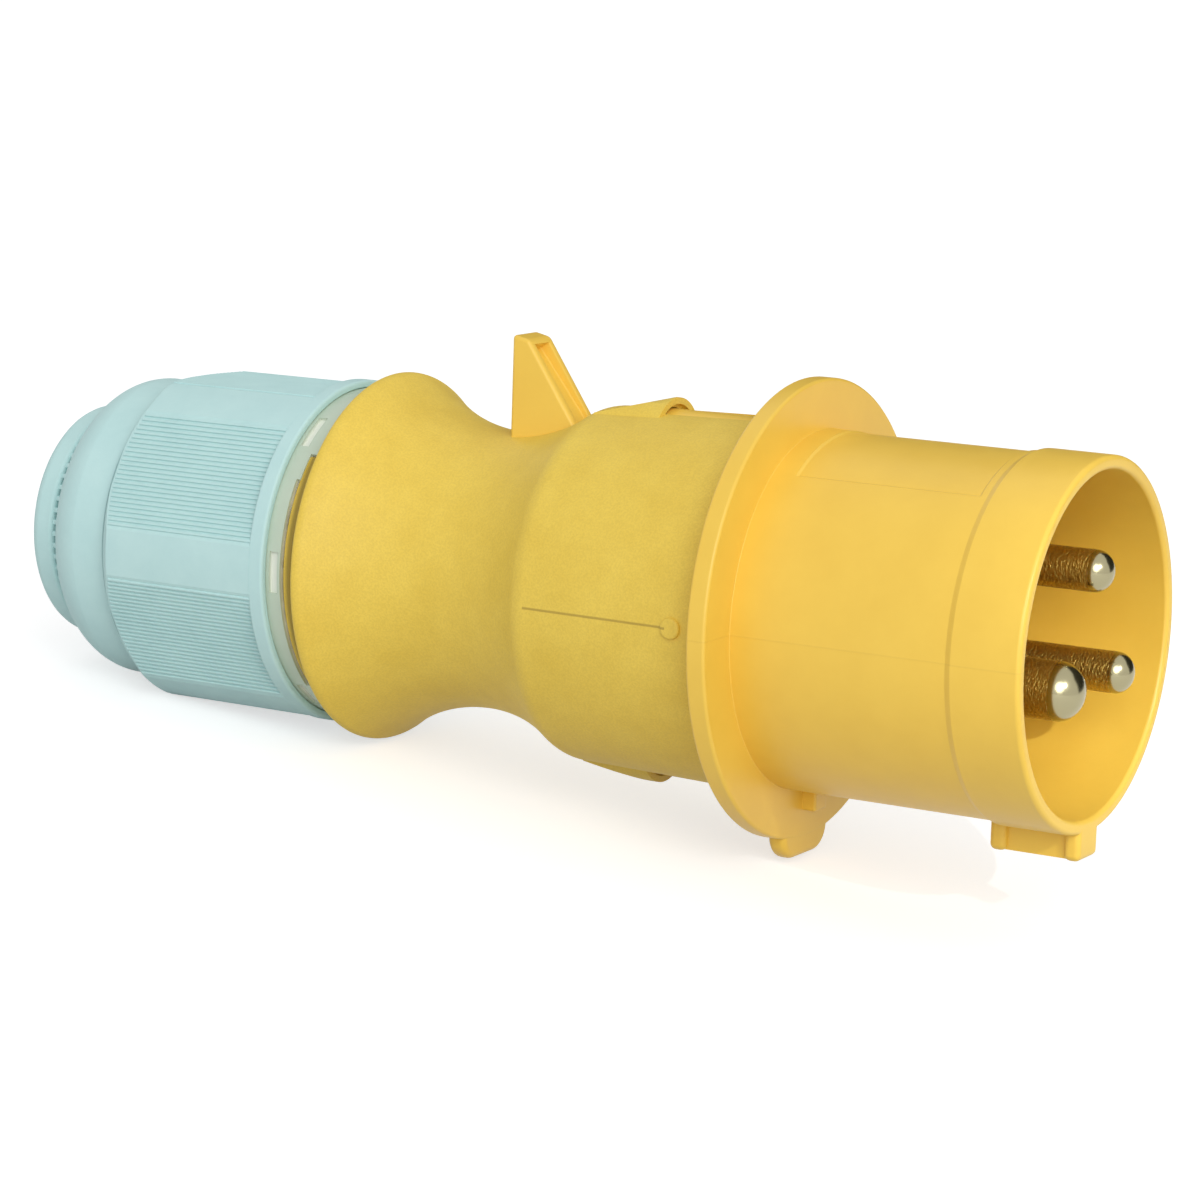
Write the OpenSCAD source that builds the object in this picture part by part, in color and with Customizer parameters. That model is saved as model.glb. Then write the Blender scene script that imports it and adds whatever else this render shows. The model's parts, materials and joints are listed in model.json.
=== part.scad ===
// Industrial plug with a round shroud, three contact pins and a cable gland nut.
// Each piece is drawn with the plug's axis along Z: the flange's front face is z = 0,
// the mouth is above it, the gland below it, and the key lies towards +X.
// lying() then lays the plug down with its mouth towards +X and its key underneath,
// as it rests on the lobe of its flange and the bulge of its handle.

/* [Shroud] */
// Length of the shroud in front of the flange
shroud_len = 37; // [30:0.5:45]
// Outer radius of the shroud behind its front band
shroud_r = 21.9; // [21:0.1:23.5]
// Wall of the shroud
shroud_wall = 1.3; // [1.1:0.1:2.4]
// Length of the front band round the mouth
band_len = 8.6; // [5:0.2:11]
// Height of the front band over the shroud
band_step = 0.4; // [0.2:0.1:0.8]
// Rounding of the mouth's rim as a share of its thickness
rim_share = 0.35; // [0.1:0.05:0.45]
// Depth of the bare pad on top of the shroud
pad_depth = 0.2; // [0.1:0.05:0.4]
// Angle that the pad covers
pad_angle = 70; // [40:5:100]

/* [Flange] */
// Radius of the flange
flange_r = 28; // [26.5:0.1:29.5]
// Thickness of the flange
flange_t = 2.5; // [2:0.1:4]
// Rounding of the flange's edges
flange_round = 0.4; // [0.2:0.1:0.8]
// How far the bottom lobe reaches past the flange
lobe_h = 2.3; // [1.5:0.1:4]
// Width of the lobe
lobe_w = 11.5; // [9:0.5:14]
// Rounding of the lobe's corners
lobe_round = 4; // [2:0.1:4.4]
// Length of the small tooth in front of the flange
tooth_len = 1.8; // [1.2:0.1:4]
// Width of the tooth
tooth_w = 3; // [2:0.1:6]
// Height of the tooth over the shroud
tooth_h = 2.6; // [1:0.1:4]

/* [Key] */
// Length of the key back from the mouth
key_len = 11.6; // [9:0.2:16]
// Width of the key
key_w = 5.5; // [4.5:0.1:8]
// Height of the key over the front band
key_h = 3.1; // [2:0.1:5]
// Length of the solid block at each end of the key
key_block = 2.1; // [1.5:0.1:3]
// Depth of the recess in each side of the key
key_recess = 0.5; // [0.2:0.1:1]

/* [Handle] */
// Wall of the barrel at the flange
barrel_wall = 2.3; // [1.9:0.1:3.5]
// How much narrower the barrel is at its shoulder
barrel_taper = 0.65; // [0.2:0.05:0.8]
// Length of the barrel
barrel_len = 25.5; // [24:0.5:35]
// Rounding of the shoulder
shoulder_round = 4; // [2:0.5:8]
// Distance from the shoulder to the waist
shoulder_to_waist = 15; // [12:0.5:20]
// Wall of the handle at its waist
waist_wall = 2.9; // [2.2:0.1:4]
// Distance from the waist to the bulge
waist_to_bulge = 17.2; // [15:0.1:22]
// Height of the bulge over the waist
bulge_h = 6; // [5:0.1:7]
// Rounding of the bulge in front of its crest
bulge_round = 1.5; // [1:0.1:3]
// Rounding of the bulge behind its crest
bulge_edge = 0.5; // [0.3:0.1:1]
// Radius of the bore at the waist
waist_bore_r = 14.6; // [13.8:0.1:15]
// How much narrower the throat in front of the cable bush is
throat_step = 1.4; // [0.8:0.1:2]

/* [Latches] */
// Width of each latch tongue
tongue_w = 5; // [3:0.2:6]
// Length of each latch tongue behind the flange
tongue_len = 19.5; // [18:0.5:20]
// Height of each latch tongue over the spigot
tongue_h = 2.25; // [1.8:0.05:2.5]
// Height of each hood's crest over the barrel's shoulder
hood_h = 1.8; // [1.5:0.05:3]
// Radius of each hood's arch
hood_arc = 6; // [5.5:0.1:8]
// Rim round the sunken front face of each hood
hood_wall = 0.8; // [0.6:0.1:1.2]
// Length of each hood's level part
hood_flat = 0.4; // [0.3:0.1:3]
// Length of each hood's ramp
hood_ramp = 8.6; // [5:0.2:10]
// Distance from the flange to each hood's opening
hood_start = 17.5; // [12:0.5:17.5]
// Radius of the small round pip on each side of the barrel
pip_r = 1.3; // [0.8:0.1:2]
// Distance from the flange to the pip
pip_start = 5; // [3:0.5:8]

/* [Lid catch] */
// Thickness of the catch
fin_t = 5.6; // [4.5:0.1:7]
// Distance from the plug's axis to the catch's tip
fin_top_r = 30.1; // [26:0.1:34]
// Distance from the waist to the catch's rear edge
fin_offset = 0.9; // [0:0.1:3]
// Length of the catch at its tip
fin_top_len = 2.2; // [1.5:0.1:4]
// Length of the catch at the handle
fin_base_len = 9.3; // [7:0.1:11]
// Height of the catch's front corner over the waist
fin_base_rise = 2.1; // [1:0.1:3]
// Width of the channel in the catch's front face
channel_w = 3.4; // [2:0.1:3.8]
// Depth of that channel
channel_depth = 1.2; // [0.5:0.1:1.6]
// Web that closes the channel at the catch's tip
channel_web = 1.3; // [0.8:0.1:2.5]

/* [Contacts] */
// Radius of the circle that the pins stand on
pin_circle_r = 8.75; // [8.4:0.05:9.2]
// Radius of the line pins
line_r = 2.5; // [2:0.1:2.8]
// Radius of the earth pin
earth_r = 3.5; // [3:0.1:3.8]
// How far the line pins reach past the mouth
line_reach = 1.3; // [-4:0.1:2]
// How far the earth pin reaches past the mouth
earth_reach = 1.6; // [-4:0.1:2]
// Height of each pin's domed tip as a share of its radius
tip_dome = 0.88; // [0.5:0.02:1]
// Length of the terminal barrels behind the retainer plate
barrel_reach = 10.5; // [8:0.5:12]
// Radius of the wire holes
wire_r = 2; // [1.5:0.1:2.2]
// Depth of the wire holes
wire_depth = 9.5; // [6:0.5:10]
// Radius of the terminal screws
terminal_screw_r = 1.6; // [1.2:0.1:2]

/* [Carrier] */
// Thickness of the ledge that the carrier seats on
ledge_t = 3; // [2.5:0.1:5]
// Inner radius of the ledge
ledge_r = 14; // [13.8:0.1:14.3]
// Thickness of the contact carrier
carrier_t = 9; // [8:0.1:10]
// Depth of the pockets for the pins' collars
pocket_depth = 5; // [3:0.1:6]
// Thickness of the retainer plate
retainer_t = 2.5; // [1.5:0.1:3]
// Radius of the carrier screws
carrier_screw_r = 1.25; // [1:0.05:1.4]
// Distance of the carrier screws from the carrier's edge
carrier_screw_inset = 2.3; // [2:0.05:2.5]

/* [Spigot] */
// Outer radius of the spigot inside the handle
spigot_r = 20.3; // [20:0.05:20.6]
// Wall of the spigot
spigot_wall = 1.7; // [1.4:0.05:1.9]
// Length of the spigot behind the flange
spigot_len = 20.5; // [19:0.5:21]
// Thickness of the rubber ring behind the spigot
body_seal_d = 1.6; // [1:0.1:1.7]

/* [Gland] */
// Wall of the handle's threaded spigot
thread_wall = 3; // [2.6:0.1:3.4]
// Length of the threaded spigot
thread_len = 19.3; // [16:0.1:22]
// Height of the collar behind the bulge over the threaded spigot
collar_h = 1.6; // [1:0.1:1.8]
// Length of that collar
collar_len = 2.8; // [1.5:0.1:4]
// Gap between the lock ring and the threaded spigot
ring_gap = 0.6; // [0.4:0.05:0.8]
// Height of the lock ring
ring_h = 2.8; // [2.6:0.1:3.4]
// Angle of the notch in each side of the lock ring's front
notch_angle = 79; // [50:1:90]
// Angle from the key to the middle of each notch
notch_middle = 83.5; // [75:0.5:105]
// Length of the lock ring that shows in front of the nut
ring_show = 2; // [1:0.1:3]
// Length of the lock ring inside the nut
ring_seat = 4.1; // [3:0.1:5]
// Length of the lock ring's wide part inside the nut's lip
ring_lip = 1.2; // [0.8:0.1:1.6]
// Wall of the lock ring's narrow tail behind that
ring_tail_wall = 0.9; // [0.7:0.05:1.1]
// Width of the lock ring's windows
window_w = 5.2; // [3:0.1:7]
// Height of the lock ring's windows
window_h = 1.2; // [0.6:0.1:1.6]
// Depth of the lock ring's windows
window_depth = 0.6; // [0.4:0.1:1.2]
// Angle between neighbouring windows on each side
window_pitch = 53.4; // [45:0.2:60]
// Width of the lock ring's two guide lugs
lug_w = 3; // [2:0.1:5]
// Height of the guide lugs inside the lock ring
lug_h = 1; // [0.8:0.05:1.2]

/* [Gland nut] */
// Wall of the nut's lip round the lock ring
lip_wall = 0.7; // [0.6:0.1:1.6]
// How much narrower the nut's grip is at its rear step
grip_taper = 0.1; // [0:0.1:1]
// Length of the nut's grip
grip_len = 25.7; // [22:0.1:28]
// Bevel of the grip's rear edge
grip_edge = 1.6; // [1:0.1:2]
// Length of the plain band at the nut's front
nut_band = 2.2; // [1.5:0.1:4]
// Width of the nut's flats
flat_w = 16.6; // [14:0.1:18]
// Spacing of the ribs on the flats
rib_pitch = 0.632; // [0.5:0.002:1.2]
// Height of the ribs
rib_h = 0.22; // [0.1:0.02:0.3]
// Height of the step from the dome to the grip
dome_step = 2.4; // [2.1:0.1:3]
// Length of the dome
dome_len = 10.9; // [10:0.1:13]
// Length of the dome's straight part
dome_flat = 5.3; // [3:0.1:6]
// How much narrower the dome is at its rear end
dome_drop = 4.4; // [3:0.1:5]
// Radius of the collar at the cable's exit
exit_collar_r = 15.2; // [14.5:0.1:16.5]
// Length of that collar
exit_collar_len = 3.6; // [3:0.1:5]
// Rounding of that collar
exit_round = 1.5; // [1:0.1:2]
// Width of the groove in front of the collar
groove_w = 1.2; // [0.8:0.1:1.5]
// Depth of that groove under the collar
groove_depth = 1.6; // [1:0.1:2.5]
// Number of small teeth in the groove
groove_teeth = 60; // [30:2:80]
// Radius of the cable's exit
exit_r = 8.5; // [8:0.1:9.5]

/* [Cable clamp] */
// Radius of the hole in the cable bush
cable_r = 7.2; // [5:0.1:7.5]
// Length of the bush inside the handle
bush_front_len = 4; // [3:0.1:5]
// Thickness of the clamp cage's base ring
cage_base_t = 3; // [2:0.1:4]
// Length of the clamp fingers
finger_len = 13.5; // [10:0.1:14]
// Thickness of the clamp fingers
finger_t = 1.9; // [1.2:0.1:2.4]
// Number of clamp fingers
finger_count = 8; // [6:1:12]
// Width of the slots between the fingers
finger_slot = 1.6; // [1:0.1:2.5]
// Gap between the fingers and the nut when it is screwed home
cage_gap = 0.5; // [0.3:0.05:1]

/* [Clearances] */
// Gap round pieces that are put together
fit_gap = 0.1; // [0.05:0.01:0.15]
// Gap round pieces that turn or slide
run_gap = 0.3; // [0.2:0.05:0.4]

/* [Hidden] */
$fn = 96;
cavity_r = shroud_r - shroud_wall;
band_r = shroud_r + band_step;
rim_round = rim_share * (band_r - cavity_r);
lobe_x = flange_r + lobe_h;
key_x = band_r + key_h;
key_round = 0.8;
soft_step = band_step;
pad_margin = 3;
eps = 0.01;

// Heights along the axis, from the flange back to the nut's end
flange_back = -flange_t;
shoulder_z = flange_back - barrel_len;
waist_z = shoulder_z - shoulder_to_waist;
bulge_z = waist_z - waist_to_bulge;
stop_z = bulge_z - bulge_edge;
collar_z = stop_z - collar_len;
thread_end = stop_z - thread_len;
ring_front = collar_z - run_gap;
nut_front = ring_front - ring_show;
ring_rear = nut_front - ring_seat;
rib_front = nut_front - nut_band;
step_z = nut_front - grip_len;
dome_arc_z = step_z - dome_flat;
groove_z = step_z - dome_len;
exit_z = groove_z - groove_w;
nut_end = exit_z - exit_collar_len;

// Handle: arcs that run tangent from the shoulder through the waist to the bulge
barrel_bore_r = spigot_r + 2 * fit_gap;
barrel_front_r = barrel_bore_r + barrel_wall;
barrel_rear_r = barrel_front_r - barrel_taper;
waist_r = waist_bore_r + waist_wall;
bulge_r = waist_r + bulge_h;
throat_r = waist_bore_r - throat_step;
shoulder_drop = barrel_rear_r - waist_r;
front_span = (pow(shoulder_drop, 2) + pow(shoulder_to_waist, 2)) / (2 * shoulder_drop);
front_arc = front_span - shoulder_round;
front_turn = asin(shoulder_to_waist / front_span);
bulge_rise = bulge_r - waist_r;
rear_span = (pow(bulge_rise, 2) + pow(waist_to_bulge, 2)) / (2 * bulge_rise);
rear_arc = rear_span - bulge_round;
rear_turn = asin(waist_to_bulge / rear_span);
bulge_mid_r = bulge_r - bulge_round;

// Angle that lifts the mouth when lobe and bulge stand on a table
lobe_over = lobe_x - bulge_r + bulge_edge;
lobe_ahead = flange_back - bulge_z;
rest_pitch = acos(bulge_edge / norm([lobe_over, lobe_ahead])) - atan2(lobe_ahead, lobe_over);

// Front shell, carrier and contacts
spigot_bore_r = spigot_r - spigot_wall;
carrier_r = spigot_bore_r - fit_gap;
carrier_screw_circle_r = carrier_r - carrier_screw_inset;
spigot_end = flange_back - spigot_len;
seat_z = spigot_end - body_seal_d - fit_gap;
bush_seat_r = waist_bore_r;
bush_seat_z = thread_end + bush_front_len + fit_gap;
retainer_z = -carrier_t - retainer_t;
barrel_end = retainer_z - barrel_reach;
collar_play = 1.7;
seat_play = 0.4;
line_barrel_r = line_r + 1.4;
earth_barrel_r = earth_r + 1.1;
screw_z = barrel_end + wire_depth / 2;

// Hoods and tongues
hood_top_r = barrel_rear_r + hood_h;
hood_axis_r = hood_top_r - hood_arc;
arch_r = hood_arc - hood_wall;
tongue_arc = spigot_r + tongue_h - hood_axis_r;
hood_front = flange_back - hood_start;
hood_base_r = barrel_bore_r + hood_wall / 2;

// Lid catch
fin_rear = waist_z + fin_offset;
fin_front = fin_rear + fin_base_len;
fin_tip_front = fin_rear + fin_top_len;
fin_base_r = waist_r + fin_base_rise;
foot_w = fin_t + 2;
foot_t = 1;
foot_r = sqrt(pow(waist_bore_r, 2) - pow(foot_w / 2, 2)) - fit_gap;
foot_over = 1.2;

// Gland
thread_r = waist_bore_r + thread_wall;
collar_r = thread_r + collar_h;
ring_bore_r = thread_r + ring_gap;
ring_r = ring_bore_r + ring_h;
rest_front = stop_z - run_gap;
thread_bore_r = thread_r + run_gap;
lip_r = ring_r + run_gap;
nut_front_r = lip_r + lip_wall;
nut_rear_r = nut_front_r - grip_taper;
dome_r = nut_rear_r - dome_step;
lip_floor = nut_front - ring_lip - run_gap;
ring_tail_r = ring_bore_r + ring_tail_wall;
ring_seat_r = ring_tail_r + run_gap;
ring_floor = ring_rear - run_gap;
rib_front_r = nut_rear_r + (nut_front_r - nut_rear_r) * (rib_front - step_z) / grip_len;
flat_rear = sqrt(pow(nut_rear_r, 2) - pow(flat_w / 2, 2));
flat_front = sqrt(pow(rib_front_r, 2) - pow(flat_w / 2, 2));
flat_tilt = atan((flat_front - flat_rear) / (rib_front - step_z));
rib_span = 2 * sqrt(pow(nut_rear_r, 2) - pow(flat_rear + rib_h, 2));
rib_count = floor(rib_span / rib_pitch);
cone_top = thread_end - cage_base_t - run_gap;
cone_end = nut_end + exit_collar_len + 2;
cone_slope = (thread_bore_r - exit_r) / (cone_top - cone_end);
cage_r = thread_bore_r - cage_gap;
cage_rear = thread_end - cage_base_t;
finger_end = cage_rear - finger_len;
bush_r = bush_seat_r - fit_gap;
bush_nose = finger_end + 1;
bush_cone_top = cone_top - (thread_bore_r - cage_gap - finger_t - fit_gap - bush_r) / cone_slope;

// Points of a circular arc
function arc(centre, r, from, to, n = 12) =
    [for (i = [0:n]) centre + r * [cos(from + (to - from) * i / n), sin(from + (to - from) * i / n)]];

// Radius of the nut's inner cone, and of the fingers that lie under it
function cone_r(z) = thread_bore_r - cone_slope * (cone_top - z);
function finger_out(z) = cone_r(z) - cage_gap;
function finger_in(z) = finger_out(z) - finger_t;

// Lays the plug down: mouth towards +X, key underneath
module lying() {
    rotate([0, 90 - rest_pitch, 0]) children();
}

// Flat shape with straight sides and two rounded outer corners
module tab(from, to, w, round) {
    translate([from, -w / 2]) square([to - round - from, w]);
    translate([from, -w / 2 + round]) square([to - from, w - 2 * round]);
    for (side = [-1, 1]) translate([to - round, side * (w / 2 - round)]) circle(round);
}

// Places a child on the pin circle: the upper line pin is opposite the key
module at_pin(angle) {
    rotate([0, 0, angle]) translate([pin_circle_r, 0, 0]) children();
}

upper_angle = 180;
lower_angle = 60;
earth_angle = -60;

// Front shell: shroud, flange and spigot in one moulding
module shell_body() {
    mouth_inner = arc([cavity_r + rim_round, shroud_len - rim_round], rim_round, 180, 90, 6);
    mouth_outer = arc([band_r - rim_round, shroud_len - rim_round], rim_round, 90, 0, 6);
    edge_front = arc([flange_r - flange_round, -flange_round], flange_round, 90, 0, 6);
    edge_back = arc([flange_r - flange_round, flange_back + flange_round], flange_round, 0, -90, 6);
    rotate_extrude() polygon(concat(
        mouth_inner, mouth_outer,
        [[band_r, shroud_len - band_len], [shroud_r, shroud_len - band_len - soft_step], [shroud_r, 0]],
        edge_front, edge_back,
        [[spigot_r, flange_back], [spigot_r, spigot_end], [spigot_bore_r, spigot_end], [spigot_bore_r, 0],
         [ledge_r, 0], [ledge_r, ledge_t], [cavity_r, ledge_t]]));
}

// Key under the mouth, narrower between its two end blocks
module key() {
    middle = key_len - 2 * key_block;
    translate([0, 0, shroud_len - key_len]) difference() {
        linear_extrude(key_len) tab(shroud_r - shroud_wall / 2, key_x, key_w, key_round);
        for (side = [-1, 1])
            translate([band_r, side * key_w / 2, key_block + middle / 2])
                cube([2 * key_h, 2 * key_recess, middle], center = true);
    }
}

// Latch tongue on the spigot, which runs back under a hood of the handle
module tongue() {
    translate([0, 0, flange_back - tongue_len]) intersection() {
        translate([hood_axis_r, 0, 0]) cylinder(r = tongue_arc, h = tongue_len + flange_t / 2);
        translate([spigot_r - (spigot_r - spigot_bore_r) / 2, -tongue_w / 2, 0])
            cube([hood_arc, tongue_w, tongue_len + flange_t / 2]);
    }
}

module pad() {
    pad_len = shroud_len - band_len - soft_step - 2 * pad_margin + 2;
    rotate([0, 0, upper_angle - pad_angle / 2]) translate([0, 0, pad_margin])
        rotate_extrude(angle = pad_angle) translate([shroud_r - pad_depth, 0]) square([1, pad_len]);
}

module front_shell() {
    color("#f0c64a") lying() difference() {
        union() {
            shell_body();
            translate([0, 0, flange_back])
                linear_extrude(flange_t) tab(shroud_r, lobe_x, lobe_w, lobe_round);
            translate([shroud_r - shroud_wall / 2, -tooth_w / 2, -flange_t / 2])
                cube([shroud_wall / 2 + tooth_h, tooth_w, tooth_len + flange_t / 2]);
            key();
            for (turn = [0, 180]) rotate([0, 0, turn]) tongue();
        }
        pad();
        carrier_holes(0, ledge_t - 0.4);
    }
}

// Two holes for the carrier screws, between two heights
module carrier_holes(from, to) {
    for (side = [-1, 1])
        translate([0, side * carrier_screw_circle_r, from - eps])
            cylinder(r = carrier_screw_r + fit_gap, h = to - from + 2 * eps);
}

// Contact carrier: the pins' collars sit in pockets that open to the rear
module contact_carrier() {
    color("#e9e4d6") lying() difference() {
        union() {
            translate([0, 0, -carrier_t]) cylinder(r = carrier_r, h = carrier_t);
            cylinder(r = ledge_r - fit_gap, h = ledge_t);
        }
        for (angle = [upper_angle, lower_angle]) at_pin(angle) pin_socket(line_r, line_barrel_r);
        at_pin(earth_angle) pin_socket(earth_r, earth_barrel_r);
        carrier_holes(-carrier_t, ledge_t);
    }
}

module pin_socket(r, barrel_r) {
    translate([0, 0, -carrier_t - eps])
        cylinder(r = barrel_r + collar_play * 0.4 + fit_gap, h = pocket_depth + eps);
    translate([0, 0, -carrier_t]) cylinder(r = r + seat_play + fit_gap, h = carrier_t + ledge_t + eps);
}

// Retainer plate: its holes let the terminal barrels through but not the collars
module retainer_plate() {
    color("#c9c3b4") lying() translate([0, 0, retainer_z]) difference() {
        cylinder(r = carrier_r, h = retainer_t);
        for (angle = [upper_angle, lower_angle]) at_pin(angle) barrel_hole(line_barrel_r);
        at_pin(earth_angle) barrel_hole(earth_barrel_r);
        carrier_holes(0, retainer_t);
    }
}

module barrel_hole(barrel_r) {
    translate([0, 0, -eps]) cylinder(r = barrel_r + fit_gap, h = retainer_t + 2 * eps);
}

module carrier_screws() {
    head_t = 1.8;
    head_r = carrier_screw_r + 1.1;
    color("silver") lying() for (side = [-1, 1])
        translate([0, side * carrier_screw_circle_r, retainer_z - head_t]) difference() {
            union() {
                cylinder(r = head_r, h = head_t);
                cylinder(r = carrier_screw_r, h = head_t + retainer_t + carrier_t + ledge_t - 1);
            }
            translate([-head_r, -0.3, -eps]) cube([2 * head_r, 0.6, head_t / 2]);
        }
}

// Contact pin: domed shank, seat, collar and a terminal barrel with a wire hole
module pin(r, barrel_r, reach) {
    tip = shroud_len + reach;
    dome = tip_dome * r;
    dome_start = tip - dome;
    dome_points = [for (i = [0:10]) [r * cos(9 * i), dome_start + dome * sin(9 * i)]];
    difference() {
        union() {
            rotate_extrude() polygon(concat([[0, 0], [r, 0]], dome_points));
            translate([0, 0, pocket_depth - carrier_t])
                cylinder(r = r + seat_play, h = carrier_t - pocket_depth + ledge_t);
            translate([0, 0, -carrier_t]) cylinder(r = barrel_r + collar_play * 0.4, h = pocket_depth);
            translate([0, 0, barrel_end]) cylinder(r = barrel_r, h = barrel_reach + retainer_t);
        }
        translate([0, 0, barrel_end - eps]) cylinder(r = wire_r, h = wire_depth);
        translate([0, 0, screw_z]) rotate([0, 90, 0])
            cylinder(r = terminal_screw_r + fit_gap, h = barrel_r + 1);
    }
}

module line_pin_upper() {
    color("#cfd0c8") lying() at_pin(upper_angle) pin(line_r, line_barrel_r, line_reach);
}

module line_pin_lower() {
    color("#cfd0c8") lying() at_pin(lower_angle) pin(line_r, line_barrel_r, line_reach);
}

module earth_pin() {
    color("#cfd0c8") lying() at_pin(earth_angle) pin(earth_r, earth_barrel_r, earth_reach);
}

// Wire clamping screws, one across each terminal barrel
module terminal_screw(barrel_r) {
    head_t = 1.8;
    head_r = terminal_screw_r + 1;
    head_gap = 0.5;
    bite = barrel_r - wire_r + 1;
    translate([barrel_r + head_gap, 0, screw_z]) rotate([0, 90, 0]) difference() {
        union() {
            cylinder(r = head_r, h = head_t);
            translate([0, 0, -head_gap - bite]) cylinder(r = terminal_screw_r, h = head_gap + bite + eps);
        }
        translate([-head_r, -0.3, head_t / 2]) cube([2 * head_r, 0.6, head_t]);
    }
}

module terminal_screws() {
    color("silver") lying() {
        for (angle = [upper_angle, lower_angle]) at_pin(angle) terminal_screw(line_barrel_r);
        at_pin(earth_angle) terminal_screw(earth_barrel_r);
    }
}

// Rubber ring that the spigot presses against the handle's inner shoulder
module body_seal() {
    color("#33373a") lying()
        translate([0, 0, spigot_end - body_seal_d / 2 - fit_gap / 2]) rotate_extrude()
            translate([(spigot_r + spigot_bore_r) / 2, 0]) circle(body_seal_d / 2, $fn = 32);
}

// Handle: barrel, waist, bulge and threaded spigot, hollow for the wires
module handle_body() {
    shoulder = arc([barrel_rear_r - shoulder_round, shoulder_z], shoulder_round, 0, -front_turn, 8);
    front_waist = arc([waist_r + front_arc, waist_z], front_arc, 180 - front_turn, 180, 14);
    rear_waist = arc([waist_r + rear_arc, waist_z], rear_arc, 180, 180 + rear_turn, 14);
    bulge = arc([bulge_mid_r, bulge_z], bulge_round, rear_turn, 0, 8);
    bulge_rear = arc([bulge_r - bulge_edge, bulge_z], bulge_edge, 0, -90, 6);
    rotate_extrude() polygon(concat(
        [[barrel_bore_r, flange_back], [barrel_front_r, flange_back]],
        shoulder, front_waist, rear_waist, bulge, bulge_rear,
        [[collar_r, stop_z], [collar_r, collar_z], [thread_r, collar_z], [thread_r, thread_end],
         [bush_seat_r, thread_end], [bush_seat_r, bush_seat_z], [throat_r, bush_seat_z],
         [throat_r, stop_z], [waist_bore_r, bulge_z + throat_step],
         [waist_bore_r, waist_z + shoulder_to_waist / 2],
         [(spigot_r + spigot_bore_r) / 2 - body_seal_d, seat_z], [barrel_bore_r, seat_z]]));
}

// Arched hood over the end of a latch tongue, with a ramp behind it
module hood() {
    ramp_start = hood_front - hood_flat - hood_ramp;
    intersection() {
        translate([hood_axis_r, 0, ramp_start]) cylinder(r = hood_arc, h = hood_ramp + hood_flat);
        rotate([90, 0, 0]) linear_extrude(2 * hood_arc, center = true) polygon([
            [hood_base_r, hood_front], [hood_top_r, hood_front], [hood_top_r, hood_front - hood_flat],
            [barrel_rear_r - 0.4, ramp_start], [hood_base_r, ramp_start]]);
    }
}

// Room for a tongue: a slot through the barrel's wall that ends under the hood,
// where the hood's front face is sunk inside its rim
module tongue_room() {
    room_len = tongue_len + run_gap;
    slot_w = tongue_w + 2 * run_gap;
    sunk = 0.7;
    translate([barrel_bore_r - 1, -slot_w / 2, hood_front - eps])
        cube([hood_arc, slot_w, hood_start + 1]);
    intersection() {
        translate([hood_axis_r, 0, flange_back - room_len]) cylinder(r = tongue_arc + run_gap, h = room_len);
        translate([barrel_bore_r - 1, -slot_w / 2, flange_back - room_len])
            cube([hood_arc, slot_w, room_len - hood_start]);
    }
    intersection() {
        translate([hood_axis_r, 0, hood_front - sunk]) cylinder(r = arch_r, h = 2 * sunk);
        translate([barrel_rear_r, -hood_arc, hood_front - sunk]) cube([hood_arc, 2 * hood_arc, 2 * sunk]);
    }
}

module handle() {
    color("#e2c351") lying() difference() {
        union() {
            handle_body();
            for (turn = [0, 180]) rotate([0, 0, turn]) hood();
            for (side = [-1, 1]) collar_lug(side);
            for (side = [90, -90]) rotate([0, 0, side])
                translate([barrel_bore_r + 1, 0, flange_back - pip_start]) rotate([0, 90, 0])
                    cylinder(r = pip_r, h = barrel_front_r - barrel_bore_r - 0.7);
        }
        for (turn = [0, 180]) rotate([0, 0, turn]) tongue_room();
        translate([-fin_top_r, -fin_t / 2 - fit_gap, fin_rear - fit_gap])
            cube([fin_top_r, fin_t + 2 * fit_gap, fin_base_len + 2 * fit_gap]);
        for (side = [90, -90]) rotate([0, 0, side]) lug_groove();
    }
}

// Raised part of the collar that fills a notch of the lock ring
module collar_lug(side) {
    lug_angle = notch_angle - 2;
    root_r = collar_r - 0.5;
    rotate([0, 0, side * notch_middle - lug_angle / 2]) rotate_extrude(angle = lug_angle)
        translate([root_r, collar_z]) square([ring_r - fit_gap - root_r, collar_len + eps]);
}

// Groove along the threaded spigot for a guide lug of the lock ring
module lug_groove() {
    groove_r = ring_bore_r - lug_h - run_gap;
    translate([groove_r, -lug_w / 2 - run_gap, thread_end - eps])
        cube([thread_r, lug_w + 2 * run_gap, collar_z - thread_end + eps]);
}

// Lid catch: a fin with a channelled front face and a foot under the handle's wall
module lid_catch() {
    slope = [fin_base_r - fin_top_r, fin_front - fin_tip_front];
    along = slope / norm(slope);
    inward = [-along.y, along.x];
    start = [fin_top_r, fin_tip_front] + along * channel_web;
    end = start + slope * 1.2;
    color("#f3bf3f") lying() {
        rotate([0, 0, 180]) difference() {
            rotate([90, 0, 0]) linear_extrude(fin_t, center = true) polygon([
                [foot_r - foot_t, fin_rear], [fin_top_r, fin_rear], [fin_top_r, fin_tip_front],
                [fin_base_r, fin_front], [foot_r - foot_t, fin_front]]);
            rotate([90, 0, 0]) linear_extrude(channel_w, center = true) polygon([
                start - inward * channel_depth, end - inward * channel_depth,
                end + inward * channel_depth, start + inward * channel_depth]);
        }
        translate([-foot_r, -foot_w / 2, fin_rear - foot_over])
            cube([foot_t, foot_w, fin_base_len + 2 * foot_over]);
    }
}

// Rubber bush round the cable, tapered where the fingers press it
module cable_seal() {
    front = thread_end + bush_front_len;
    nose_r = finger_in(bush_nose) - fit_gap;
    color("#2e3133") lying() rotate_extrude() polygon([
        [cable_r, front], [bush_r, front], [bush_r, bush_cone_top],
        [nose_r, bush_nose], [cable_r, bush_nose]]);
}

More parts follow.
